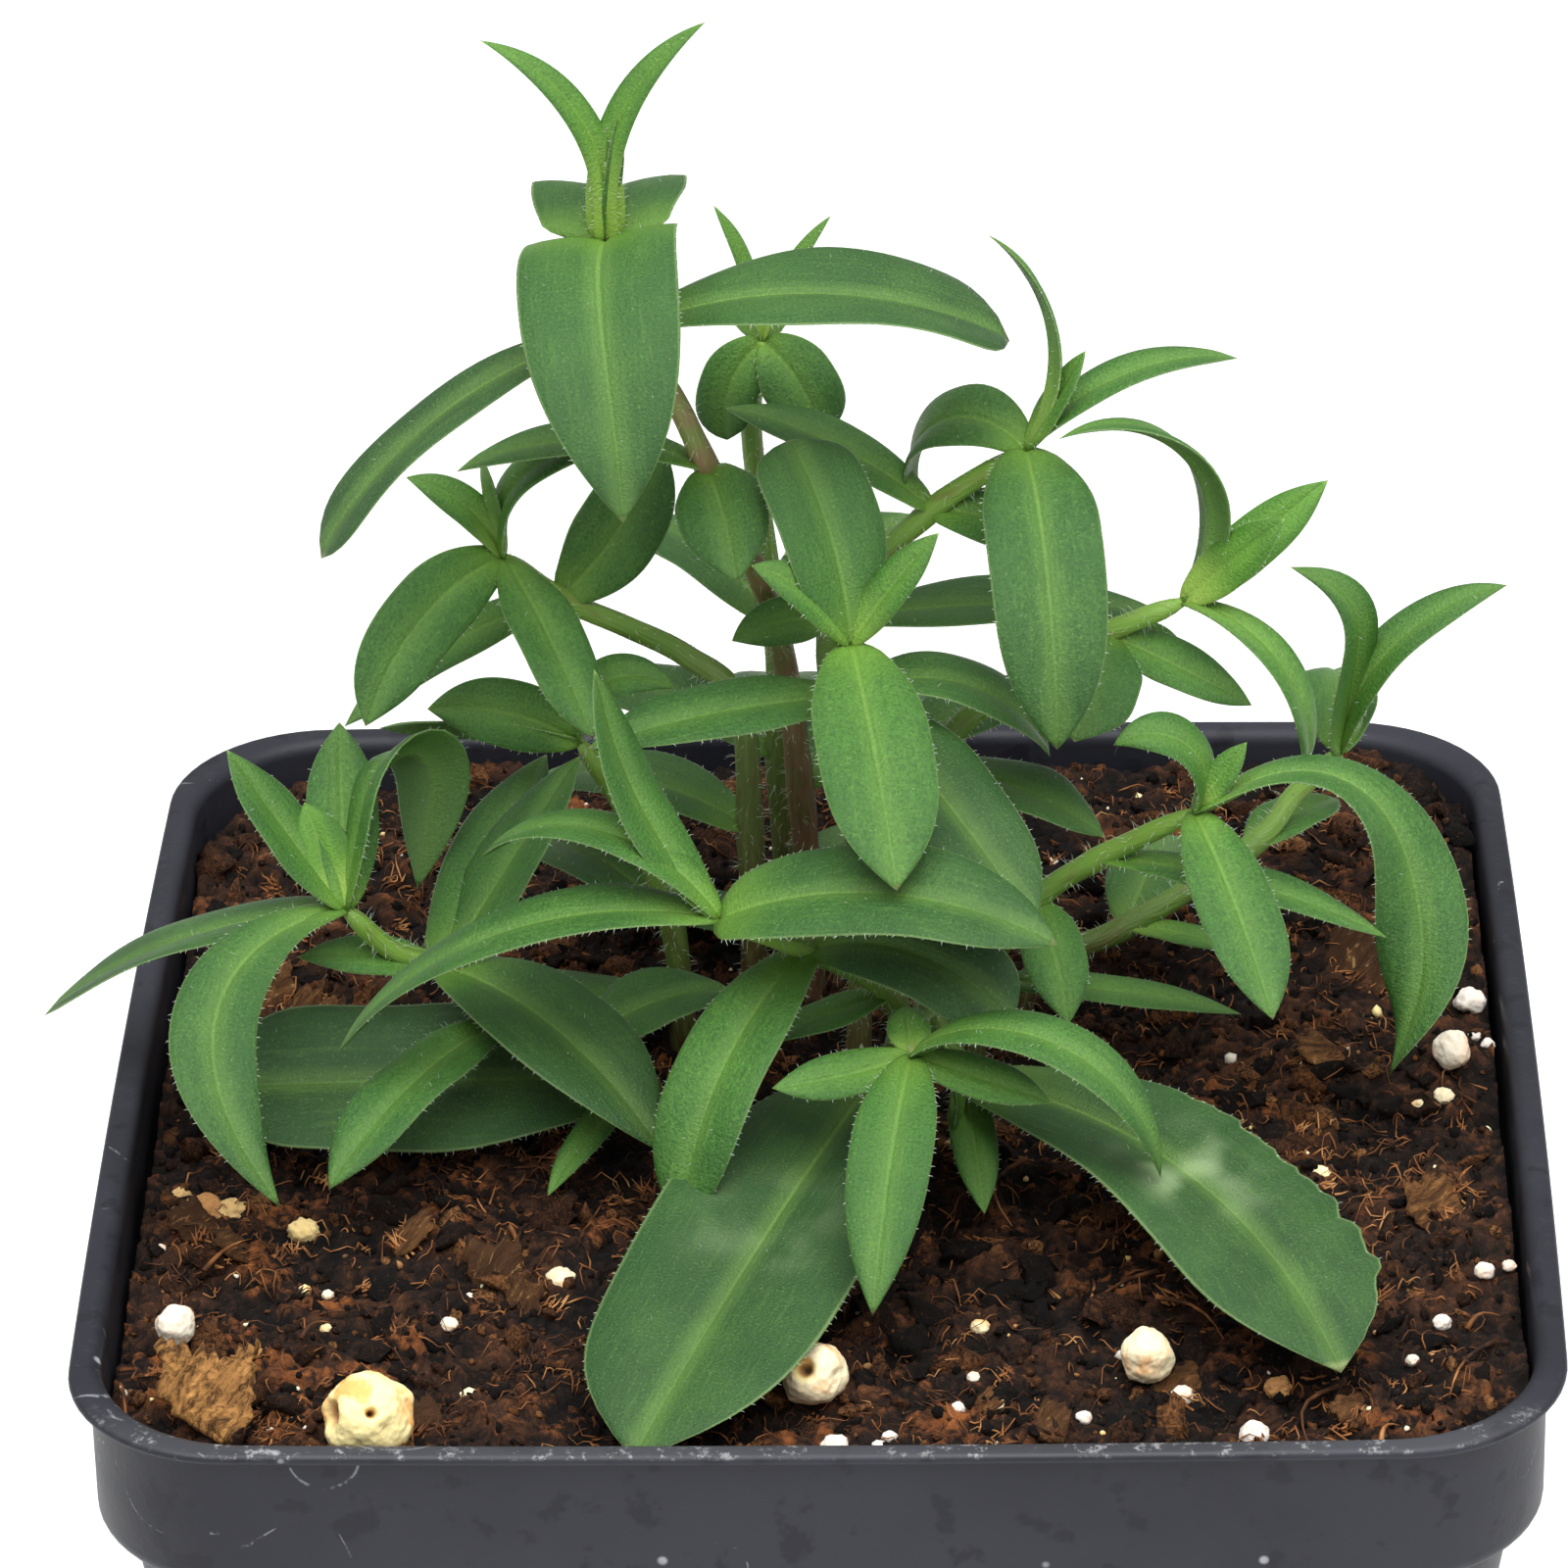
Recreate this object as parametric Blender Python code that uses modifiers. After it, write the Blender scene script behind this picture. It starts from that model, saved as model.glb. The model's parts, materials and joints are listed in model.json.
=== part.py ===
"""A woodland phlox in a square nursery pot, as separate solids. Metres, +Z up, resting on z = 0."""

from math import cos, pi, radians, sin

import bmesh
import bpy
from mathutils import Vector, noise

MM = 0.001

# Pot
POT_HEIGHT = 76.0
RIM_HALF = 43.0
RIM_CORNER = 9.75
LIP_OVERHANG = 1.1
LIP_THICKNESS = 0.7
COLLAR_HEIGHT = 10.5
COLLAR_STEP = 1.5
BASE_HALF = 31.0
WALL = 0.7
FLOOR = 1.4
SIDE_BOW = 0.3
BASE_ROUND = 0.8
COLLAR_ROUND = 0.8
LIP_ROUND = 0.25
INNER_ROUND = 0.6
CORNER_STEPS = 5
SIDE_STEPS = 4
DRAIN_RADIUS = 4.0
DRAIN_OFFSET = 17.0
DRAIN_SIDES = 16
WELD = 0.01

# Soil: heights are from the top of the rim
GAP = 0.3
SOIL_LEVEL = -2.7
SOIL_TILT_RIGHT = 0.018
SOIL_TILT_BACK = 0.012
LUMP_HEIGHT = 0.9
LUMP_SIZE = 6.5
CRUMB_HEIGHT = 0.5
CRUMB_SIZE = 3.0
SOIL_CELLS = 21
HOLE_BOTTOM = -8.0
HOLE_SIDES = 12
HOLE_SLACK = 0.03
HOLE_CUT = 20.0
GRAIN_KNOBS = 0.16
KNOB_SIZE = 1.3
GRAIN_DETAIL = 2

# Leaves and stems
BLADE = 0.6
LEAF_ROWS = 6
SHORT_LEAF = 11.0
SHORT_LEAF_ROWS = 4
FINE_STEPS = 60
LEAF_BASE = 0.32
TIP_HALF = 0.3
CUP = 0.12
STEM_FOOT = 1.0
STEM_TOP = 0.75
STEM_STEPS = 2

LEAF_GREEN = (0.10, 0.25, 0.07)
POT_COLOUR = (0.055, 0.058, 0.068)
SOIL_COLOUR = (0.045, 0.022, 0.012)
PERLITE_COLOUR = (0.86, 0.80, 0.66)
BARK_COLOUR = (0.35, 0.17, 0.06)

# Each stem's points are millimetres from the centre of the rim, from its foot up. A leaf grows from
# the stem point numbered by at. Its heading is counted from the right towards the back, its rise is
# the slope it starts with and its droop the slope it loses on the way, all in degrees. Roll turns it
# about its midrib and twist adds to the roll towards the tip. Sweep bends it sideways, and late puts
# the bend off. Base is the share of its width that it starts with, peak is the place of its widest
# part and blunt rounds its tip.
SHOOTS = {
    "shoot_tall": dict(
        stem=[(-1, 12.5, -8), (-1, 12.5, -1), (-1.5, 12.5, 12), (-2.8, 11, 24.5), (-6.5, 7, 37),
              (-8.5, 6, 42.5), (-11, 4, 47.5), (-11.8, 2, 54.2)],
        leaves=[
            dict(at=7, heading=-95, rise=20, droop=107, long=22, wide=9.3, roll=8, sweep=25,
                 peak=0.32, base=0.95),
            dict(at=7, heading=90, rise=27, droop=108, long=14, wide=9.1, roll=-3, peak=0.4, base=0.75),
            dict(at=7, heading=183, rise=100, droop=77, long=15.8, wide=1.8, roll=-45, base=0.9),
            dict(at=7, heading=-1, rise=98, droop=65, long=16, wide=1.9, roll=45, base=0.9),
            dict(at=7, heading=180, rise=97, droop=0, long=8.2, wide=2, roll=-50, base=0.7),
            dict(at=7, heading=0, rise=88, droop=0, long=7, wide=1.8, roll=50, base=0.7),
            dict(at=6, heading=203, rise=-1, droop=58, long=23.2, wide=4.9, peak=0.55, blunt=4),
            dict(at=6, heading=5, rise=21, droop=52, long=23.5, wide=10, base=0.2, peak=0.55, blunt=5),
            dict(at=4, heading=-75, rise=-8, droop=43, long=8.5, wide=5.5, roll=15),
            dict(at=4, heading=182, rise=27, droop=54, long=15.5, wide=4.6),
            dict(at=2, heading=55, rise=25, droop=50, long=16, wide=6),
        ],
    ),
    "shoot_back": dict(
        stem=[(-2.5, 17, -8), (-2.5, 17, -1), (-3, 17, 12), (-3, 17.5, 21), (-4.2, 18, 34),
              (-3.4, 18, 40)],
        leaves=[
            dict(at=5, heading=175, rise=86, droop=27, long=9.5, wide=1.5, roll=-30),
            dict(at=5, heading=-1, rise=75, droop=25, long=9.5, wide=1.5, roll=30),
            dict(at=5, heading=203, rise=-34, droop=70, long=7.1, wide=3.8, roll=-50, blunt=2.5),
            dict(at=5, heading=-28, rise=-32, droop=50, long=7.2, wide=4.7, roll=40, blunt=2.5),
            dict(at=5, heading=95, rise=15, droop=70, long=11, wide=5),
            dict(at=3, heading=130, rise=30, droop=50, long=15, wide=6),
            dict(at=3, heading=50, rise=30, droop=50, long=15, wide=6),
            dict(at=2, heading=150, rise=25, droop=45, long=17, wide=6.5),
            dict(at=2, heading=90, rise=10, droop=45, long=17, wide=7),
            dict(at=1, heading=75, rise=12, droop=15, long=13, wide=5),
            dict(at=1, heading=165, rise=12, droop=15, long=13, wide=5),
        ],
    ),
    "shoot_upper_right": dict(
        stem=[(3.5, 9, -8), (3.5, 9, -1), (1.5, 10, 14), (0.7, 10, 25), (6.8, 9, 33), (12.4, 8, 37.5)],
        leaves=[
            dict(at=5, heading=193, rise=123, droop=85, long=16, wide=2.2),
            dict(at=5, heading=11, rise=51, droop=63, long=14.5, wide=4),
            dict(at=5, heading=-1, rise=58, droop=-6, long=7.5, wide=2.6, roll=25),
            dict(at=5, heading=150, rise=42, droop=158, long=12.6, wide=5.4, roll=-22, blunt=2.5),
            dict(at=5, heading=-83, rise=6, droop=96, long=21.5, wide=6.9, peak=0.36, blunt=2.2),
            dict(at=4, heading=161, rise=37, droop=34, long=14.2, wide=5),
            dict(at=4, heading=-19, rise=6, droop=31, long=11, wide=4.5, roll=25),
            dict(at=3, heading=2, rise=9, droop=18, long=20, wide=6.2, peak=0.5),
            dict(at=3, heading=208, rise=26, droop=46, long=7, wide=3, roll=-60),
            dict(at=2, heading=25, rise=30, droop=45, long=17, wide=6),
        ],
    ),
    "shoot_right": dict(
        stem=[(7, 6, -8), (7, 6, -1), (5, 5.5, 9.5), (7, 6, 17), (8.7, 6, 20.3), (13, 7, 22.5),
              (17.2, 7, 25.6), (21.8, 7, 27.7)],
        leaves=[
            dict(at=7, heading=201, rise=130, droop=148, long=19.8, wide=3.7, roll=10),
            dict(at=7, heading=14, rise=38, droop=0, long=11.4, wide=3.3, roll=50),
            dict(at=7, heading=-17, rise=46, droop=0, long=9, wide=3.2, roll=60),
            dict(at=7, heading=-31, rise=7, droop=112, long=14.8, wide=3, peak=0.5),
            dict(at=6, heading=-104, rise=-10, droop=21, long=8.8, wide=6, roll=-20, blunt=2),
            dict(at=6, heading=-12, rise=-22, droop=4, long=9.8, wide=3.8, roll=20),
            dict(at=6, heading=18, rise=-10, droop=22, long=5.5, wide=2.2, roll=40),
            dict(at=3, heading=-27, rise=6, droop=33, long=11.6, wide=5.4),
        ],
    ),
    "shoot_far_right": dict(
        stem=[(12, 8.5, -8), (12, 8.5, -1), (14, 9, 2), (18.5, 10, 3.5), (26.2, 13, 7.4),
              (29, 15, 10), (31.8, 16, 12.4)],
        leaves=[
            dict(at=6, heading=181, rise=97, droop=76, long=15.2, wide=4, roll=-38,
                 peak=0.35, base=0.7, fold=0.7, blunt=1.1),
            dict(at=6, heading=9, rise=83, droop=75, long=16, wide=4.2, roll=10),
            dict(at=6, heading=90, rise=30, droop=60, long=11, wide=5),
            dict(at=4, heading=50, rise=12, droop=30, long=9, wide=4.2),
            dict(at=3, heading=-20, rise=5, droop=15, long=8, wide=2.6),
            dict(at=3, heading=75, rise=15, droop=35, long=13, wide=5),
        ],
    ),
    "shoot_lower_right": dict(
        stem=[(9, 1, -8), (9, 1, -1), (9.5, 1, 5), (12.8, 1, 10.5), (16.6, 0, 14), (22.3, -2, 18.3)],
        leaves=[
            dict(at=5, heading=190, rise=122, droop=155, long=9.7, wide=3.5, roll=-30),
            dict(at=5, heading=7, rise=55, droop=0, long=5.5, wide=2, roll=45),
            dict(at=5, heading=8, rise=27, droop=92, long=29.5, wide=5.8, roll=-12,
                 twist=28, sweep=-190, late=2, fold=0.3, peak=0.55),
            dict(at=5, heading=-72, rise=-12, droop=26, long=15.6, wide=4.9, blunt=2),
            dict(at=4, heading=-20, rise=6, droop=25, long=18.5, wide=4),
            dict(at=3, heading=-75, rise=-5, droop=50, long=9, wide=4),
            dict(at=2, heading=-6, rise=0, droop=11, long=16, wide=3.4),
        ],
    ),
    "shoot_centre": dict(
        stem=[(2, 3, -8), (2, 3, -1), (2.4, 3, 14), (1.9, 1, 24.6), (2, -1, 29.2)],
        leaves=[
            dict(at=4, heading=118, rise=84, droop=62, long=13.4, wide=6.6, peak=0.5, blunt=4.5),
            dict(at=4, heading=190, rise=67, droop=44, long=8.5, wide=2.9, roll=-45),
            dict(at=4, heading=4, rise=59, droop=11, long=9, wide=2.7, roll=45),
            dict(at=4, heading=-80, rise=-8, droop=37, long=18, wide=6.9, blunt=2),
            dict(at=3, heading=200, rise=8, droop=18, long=16.5, wide=5.4, roll=-10),
            dict(at=3, heading=-2, rise=32, droop=102, long=14.3, wide=6.2),
            dict(at=3, heading=-54, rise=-11, droop=22, long=20, wide=7.2, blunt=2),
        ],
    ),
    "shoot_upper_left": dict(
        stem=[(-4.5, 7.5, -8), (-4.5, 7.5, -1), (-4.5, 7.5, 12), (-5, 8, 20.5), (-8.2, 9.5, 23),
              (-11.7, 9.5, 25), (-15.7, 9, 27.3), (-18.9, 8, 30.6)],
        leaves=[
            dict(at=7, heading=181, rise=71, droop=55, long=8.2, wide=2.5, roll=-40),
            dict(at=7, heading=145, rise=69, droop=-19, long=6.6, wide=2.2, roll=65),
            dict(at=7, heading=0, rise=103, droop=117, long=11.8, wide=3.6, roll=15),
            dict(at=7, heading=-132, rise=5, droop=69, long=14.6, wide=4.8, roll=-42, blunt=2),
            dict(at=7, heading=-63, rise=-16, droop=24, long=14, wide=4.3, base=0.25, blunt=2.2),
            dict(at=6, heading=24, rise=34, droop=-44, long=12, wide=5.3, roll=60),
            dict(at=6, heading=178, rise=-20, droop=28, long=16.4, wide=3.5, roll=-30),
            dict(at=2, heading=150, rise=20, droop=45, long=16, wide=6),
        ],
    ),
    "shoot_small_left": dict(
        stem=[(-9, 7, -8), (-9, 7, -1), (-9.5, 7, 6), (-12, 7, 13.5), (-14.6, 6, 19)],
        leaves=[
            dict(at=4, heading=180, rise=35, droop=42, long=9.7, wide=4.2, roll=-60),
            dict(at=4, heading=171, rise=0, droop=0, long=12.5, wide=4, roll=45),
            dict(at=4, heading=-8, rise=103, droop=139, long=9.3, wide=3.3, roll=35),
            dict(at=2, heading=135, rise=25, droop=50, long=15, wide=6),
            dict(at=1, heading=172, rise=15, droop=20, long=13, wide=5),
        ],
    ),
    "shoot_lower_left": dict(
        stem=[(-10.5, -3.5, -8), (-10.5, -3.5, -1), (-11, -3.5, 0.8), (-14.5, -3.2, 3.2), (-19.2, -3.5, 5),
              (-22.9, -0.5, 7), (-26, -1, 8.6), (-28.6, -2, 12)],
        leaves=[
            dict(at=7, heading=148, rise=42, droop=-8, long=12, wide=4.3),
            dict(at=7, heading=123, rise=49, droop=0, long=7, wide=3.5, roll=-25),
            dict(at=7, heading=65, rise=66, droop=168, long=22, wide=5.2, sweep=-35, roll=-40, fold=0.5),
            dict(at=7, heading=94, rise=52, droop=19, long=12, wide=4.4),
            dict(at=7, heading=172, rise=-8, droop=34, long=21.5, wide=6, roll=5),
            dict(at=7, heading=-158, rise=1, droop=48, long=25.7, wide=5.3, sweep=128),
            dict(at=5, heading=60, rise=48, droop=22, long=15.1, wide=5.4, base=0.6),
            dict(at=5, heading=34, rise=50, droop=2, long=15.3, wide=5.6),
            dict(at=5, heading=-44, rise=10, droop=52, long=20, wide=8),
            dict(at=5, heading=186, rise=20, droop=23, long=9, wide=3.2, roll=-20),
            dict(at=4, heading=-127, rise=9, droop=44, long=17.3, wide=4.9, blunt=2),
            dict(at=2, heading=183, rise=3, droop=4, long=26.5, wide=10.6, roll=-27, peak=0.5, blunt=3),
            dict(at=3, heading=20, rise=35, droop=50, long=10, wide=6.5),
            dict(at=2, heading=-121, rise=0, droop=28, long=11, wide=2.4),
        ],
    ),
    "shoot_front": dict(
        stem=[(4, -4, -8), (4, -4, -1), (4.5, -5.5, 4), (4.2, -7, 8.8), (-0.6, -9, 13),
              (-5.7, -12, 16.9)],
        leaves=[
            dict(at=5, heading=146, rise=36, droop=-46, long=17, wide=4.3),
            dict(at=5, heading=156, rise=54, droop=106, long=18.3, wide=4.2),
            dict(at=5, heading=175, rise=9, droop=67, long=27, wide=5.8, peak=0.3),
            dict(at=5, heading=-17, rise=31, droop=54, long=21.5, wide=7.7, roll=15,
                 peak=0.25, base=0.6, blunt=2.6),
            dict(at=4, heading=-124, rise=-4, droop=79, long=20, wide=6.1, blunt=2),
            dict(at=4, heading=-21, rise=29, droop=81, long=14.2, wide=6, roll=30, peak=0.55, blunt=2.5),
            dict(at=3, heading=200, rise=-10, droop=0, long=9, wide=3.5),
            dict(at=2, heading=-112.9, rise=-2, droop=14, long=38.6, wide=13.7, base=0.2,
                 peak=0.42, blunt=3.2),
        ],
    ),
    "shoot_lower_centre": dict(
        stem=[(8.6, -8.5, -8), (8.6, -8.5, -1), (8.4, -9, 4), (6.5, -10.5, 10), (5.5, -17, 10.5)],
        leaves=[
            dict(at=4, heading=-98, rise=-1, droop=51, long=18.4, wide=4.9),
            dict(at=4, heading=-22, rise=47, droop=131, long=20.5, wide=4.7),
            dict(at=4, heading=95, rise=14, droop=0, long=4.2, wide=2.6),
            dict(at=4, heading=195, rise=-14, droop=-17, long=8.5, wide=3.1, roll=-30),
            dict(at=4, heading=-24, rise=-7, droop=0, long=9, wide=3.1, roll=20),
            dict(at=3, heading=-56, rise=-26, droop=102, long=9.5, wide=2, roll=-40),
            dict(at=2, heading=-32, rise=8, droop=27, long=35.8, wide=11.6, sweep=-40,
                 peak=0.6, blunt=2.1),
            dict(at=2, heading=-82, rise=-10, droop=25, long=10, wide=2.8),
        ],
    ),
}

# Loose grains on the soil: centre and half sizes, millimetres from the centre of the rim
GRAINS = {
    "bark_chip": dict(centre=(-35, -34.5, -1.5), half=(2.6, 2.8, 1.7), colour=BARK_COLOUR),
    "perlite_front_left": dict(centre=(-25.6, -36.8, -1.3), half=(2.7, 2.4, 2.3)),
    "perlite_front": dict(centre=(-0.2, -32.6, -1.4), half=(1.9, 1.9, 1.9)),
    "perlite_front_right": dict(centre=(19, -31, -1.3), half=(1.5, 1.6, 1.6)),
    "perlite_left": dict(centre=(-37.5, -26.5, -1.8), half=(1.2, 1.2, 1.2)),
    "perlite_right": dict(centre=(38.2, 1.5, -0.4), half=(1.1, 1.3, 1.2)),
}


def clear_scene():
    for obj in list(bpy.data.objects):
        bpy.data.objects.remove(obj)


def new_collection(name):
    collection = bpy.data.collections.new(name)
    bpy.context.scene.collection.children.link(collection)
    return collection


def plain_material(name, colour, roughness):
    material = bpy.data.materials.new(name)
    material.use_nodes = True
    shader = material.node_tree.nodes["Principled BSDF"]
    shader.inputs["Base Color"].default_value = (*colour, 1)
    shader.inputs["Roughness"].default_value = roughness
    shader.inputs["Metallic"].default_value = 0
    return material


def mesh_object(name, bm, collection):
    mesh = bpy.data.meshes.new(name)
    bmesh.ops.recalc_face_normals(bm, faces=bm.faces)
    bm.to_mesh(mesh)
    bm.free()
    obj = bpy.data.objects.new(name, mesh)
    collection.objects.link(obj)
    return obj


def finish(obj, material, smooth):
    obj.data.materials.clear()
    obj.data.materials.append(material)
    for face in obj.data.polygons:
        face.use_smooth = smooth


def rounded_square(half, corner):
    """Points round a square with rounded corners and sides that bow out a little."""
    points = []
    flat = half - corner
    for quarter in range(4):
        turn = quarter * pi / 2
        for i in range(CORNER_STEPS + 1):
            angle = pi / 2 * i / CORNER_STEPS
            points.append((flat + corner * cos(angle), flat + corner * sin(angle), turn))
        for i in range(1, SIDE_STEPS):
            along = 1 - 2 * i / SIDE_STEPS
            points.append((flat * along, half + SIDE_BOW * (1 - along**2), turn))
    return [(x * cos(t) - y * sin(t), x * sin(t) + y * cos(t)) for x, y, t in points]


def ring_solid(name, profile, collection):
    """A solid whose outline is a rounded square at every height. The profile is (half, corner, z) rows."""
    around = 4 * (CORNER_STEPS + SIDE_STEPS)
    rows = len(profile) - 1
    bm = bmesh.new()
    bmesh.ops.create_grid(bm, x_segments=around, y_segments=rows, size=1)
    for vert in bm.verts:
        column, row = vert.index % (around + 1), vert.index // (around + 1)
        half, corner, z = profile[row]
        if half > 0:
            x, y = rounded_square(half, corner)[column % around]
        else:
            x, y = 0, 0
        vert.co = Vector((x, y, z + POT_HEIGHT)) * MM
    bmesh.ops.remove_doubles(bm, verts=bm.verts, dist=WELD * MM)
    return mesh_object(name, bm, collection)


def corner_for(half):
    return RIM_CORNER * half / RIM_HALF


def outer_half(z):
    """Half width of the tapered body at a height below the collar."""
    top = RIM_HALF - LIP_OVERHANG - COLLAR_STEP
    return BASE_HALF + (top - BASE_HALF) * (z + POT_HEIGHT) / (POT_HEIGHT - COLLAR_HEIGHT)


def cavity_profile(clearance, top):
    """The inside of the pot, drawn in by a clearance, from the floor's centre up to a height."""
    collar = RIM_HALF - LIP_OVERHANG - WALL - clearance
    floor = -POT_HEIGHT + FLOOR + clearance
    step = -COLLAR_HEIGHT
    low = outer_half(floor) - WALL - clearance
    high = outer_half(step) - WALL - clearance
    return [
        (0, 0, floor),
        (low, corner_for(low), floor),
        (high, corner_for(high), step),
        (collar, corner_for(collar), step + COLLAR_STEP),
        (collar, corner_for(collar), top),
    ]


def make_pot(parts, cutters):
    lip = RIM_HALF
    collar = RIM_HALF - LIP_OVERHANG
    inner = collar - WALL
    step = -COLLAR_HEIGHT
    body = outer_half(step)
    base_corner, body_corner = corner_for(BASE_HALF), corner_for(body)
    collar_corner, inner_corner = corner_for(collar), corner_for(inner)
    profile = [
        (0, 0, -POT_HEIGHT),
        (BASE_HALF - BASE_ROUND, base_corner, -POT_HEIGHT),
        (BASE_HALF, base_corner, -POT_HEIGHT + BASE_ROUND),
        (body, body_corner, step),
        (collar - COLLAR_ROUND / 2, collar_corner, step + COLLAR_ROUND),
        (collar, collar_corner, step + COLLAR_STEP),
        (collar, collar_corner, -LIP_THICKNESS),
        (lip - LIP_ROUND, RIM_CORNER, -LIP_THICKNESS),
        (lip, RIM_CORNER, -LIP_THICKNESS / 2),
        (lip - LIP_ROUND, RIM_CORNER, 0),
        (inner + INNER_ROUND, inner_corner, 0),
        (inner, inner_corner, -INNER_ROUND),
    ]
    profile += reversed(cavity_profile(0, step + COLLAR_STEP)[:-1])
    pot = ring_solid("pot", profile, parts)
    for x in (-DRAIN_OFFSET, DRAIN_OFFSET):
        for y in (-DRAIN_OFFSET, DRAIN_OFFSET):
            bpy.ops.mesh.primitive_cylinder_add(
                vertices=DRAIN_SIDES,
                radius=DRAIN_RADIUS * MM,
                depth=4 * FLOOR * MM,
                location=(x * MM, y * MM, 0),
            )
            move_to(bpy.context.object, cutters)
    cut(pot, cutters, "DIFFERENCE", "EXACT")
    finish(pot, plain_material("pot_plastic", POT_COLOUR, 0.5), True)
    return pot


def move_to(obj, collection):
    for owner in list(obj.users_collection):
        owner.objects.unlink(obj)
    collection.objects.link(obj)


def cut(obj, tools, operation, solver):
    """Apply one Boolean with every object of a collection, then remove those objects."""
    boolean = obj.modifiers.new("boolean", "BOOLEAN")
    boolean.operation = operation
    boolean.operand_type = "COLLECTION"
    boolean.collection = tools
    boolean.solver = solver
    graph = bpy.context.evaluated_depsgraph_get()
    mesh = bpy.data.meshes.new_from_object(obj.evaluated_get(graph))
    obj.modifiers.clear()
    old = obj.data
    obj.data = mesh
    bpy.data.meshes.remove(old)
    mesh.name = obj.name
    for tool in list(tools.objects):
        bpy.data.objects.remove(tool)


def keep_largest_shell(obj):
    """Drop sealed hollows and loose scraps that a union leaves."""
    bm = bmesh.new()
    bm.from_mesh(obj.data)
    unseen = set(bm.verts)
    shells = []
    while unseen:
        stack = [unseen.pop()]
        shell = set(stack)
        while stack:
            for edge in stack.pop().link_edges:
                for vert in edge.verts:
                    if vert in unseen:
                        unseen.remove(vert)
                        shell.add(vert)
                        stack.append(vert)
        shells.append(shell)
    largest = max(shells, key=len)
    loose = [vert for shell in shells if shell is not largest for vert in shell]
    bmesh.ops.delete(bm, geom=loose, context="VERTS")
    bm.to_mesh(obj.data)
    bm.free()


def soil_height(x, y):
    """Height of the soil below the rim at a place, in millimetres."""
    lump = noise.noise(Vector((x / LUMP_SIZE, y / LUMP_SIZE, 0)))
    crumb = noise.noise(Vector((x / CRUMB_SIZE, y / CRUMB_SIZE, 5)))
    tilt = SOIL_TILT_RIGHT * x + SOIL_TILT_BACK * y
    return SOIL_LEVEL + tilt + LUMP_HEIGHT * lump + CRUMB_HEIGHT * crumb


def make_soil(parts, cutters):
    cells = SOIL_CELLS
    bm = bmesh.new()
    bmesh.ops.create_grid(bm, x_segments=cells, y_segments=cells, size=RIM_HALF * MM)
    for vert in bm.verts:
        vert.co.z = (soil_height(vert.co.x / MM, vert.co.y / MM) + POT_HEIGHT) * MM
    extruded = bmesh.ops.extrude_face_region(bm, geom=list(bm.faces))
    for vert in [item for item in extruded["geom"] if isinstance(item, bmesh.types.BMVert)]:
        vert.co.z = 0
    soil = mesh_object("soil", bm, parts)
    ring_solid("soil_bounds", cavity_profile(GAP, 0), cutters)
    cut(soil, cutters, "INTERSECT", "EXACT")
    for shoot in SHOOTS.values():
        x, y, _ = shoot["stem"][0]
        bpy.ops.mesh.primitive_cylinder_add(
            vertices=HOLE_SIDES,
            radius=(STEM_FOOT + GAP + HOLE_SLACK) * MM,
            depth=HOLE_CUT * MM,
            location=(x * MM, y * MM, (POT_HEIGHT + HOLE_BOTTOM - GAP + HOLE_CUT / 2) * MM),
        )
        move_to(bpy.context.object, cutters)
    for name, grain in GRAINS.items():
        grain_solid(name + "_pocket", grain, GAP, cutters)
    cut(soil, cutters, "DIFFERENCE", "EXACT")
    keep_largest_shell(soil)
    finish(soil, plain_material("peat_soil", SOIL_COLOUR, 0.95), False)
    return soil


def grain_solid(name, grain, clearance, collection):
    """A knobbly grain. The pocket it sits in is the same form, wider by the clearance."""
    bm = bmesh.new()
    bmesh.ops.create_icosphere(bm, subdivisions=GRAIN_DETAIL, radius=1)
    centre = Vector(grain["centre"])
    for vert in bm.verts:
        push = 1 + GRAIN_KNOBS * noise.noise(vert.co * KNOB_SIZE + centre)
        sizes = [half * push + clearance for half in grain["half"]]
        spot = Vector([along * size for along, size in zip(vert.co, sizes)])
        vert.co = (centre + spot + Vector((0, 0, POT_HEIGHT))) * MM
    return mesh_object(name, bm, collection)


def smooth_route(points, steps):
    """A curve through the given points."""
    ends = [2 * points[0] - points[1]] + points + [2 * points[-1] - points[-2]]
    route = []
    for a, b, c, d in zip(ends, ends[1:], ends[2:], ends[3:]):
        for i in range(steps):
            t = i / steps
            route.append(
                b + 0.5 * t * (c - a + t * (2 * a - 5 * b + 4 * c - d + t * (3 * (b - c) + d - a)))
            )
    return route + [points[-1]]


def stem_solid(name, points, collection):
    route = smooth_route([Vector(point) for point in points], STEM_STEPS)
    curve = bpy.data.curves.new(name, "CURVE")
    curve.dimensions = "3D"
    curve.bevel_depth = STEM_FOOT * MM
    curve.bevel_resolution = 1
    curve.use_fill_caps = True
    spline = curve.splines.new("POLY")
    spline.points.add(len(route) - 1)
    for i, (place, point) in enumerate(zip(route, spline.points)):
        share = i / (len(route) - 1)
        point.co = (*((place + Vector((0, 0, POT_HEIGHT))) * MM), 1)
        point.radius = 1 + (STEM_TOP / STEM_FOOT - 1) * share
    guide = bpy.data.objects.new(name + "_guide", curve)
    collection.objects.link(guide)
    graph = bpy.context.evaluated_depsgraph_get()
    mesh = bpy.data.meshes.new_from_object(guide.evaluated_get(graph))
    bm = bmesh.new()
    bm.from_mesh(mesh)
    bmesh.ops.remove_doubles(bm, verts=bm.verts, dist=WELD * MM)
    stem = mesh_object(name, bm, collection)
    stem.matrix_world = guide.matrix_world
    bpy.data.objects.remove(guide)
    return stem


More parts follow.
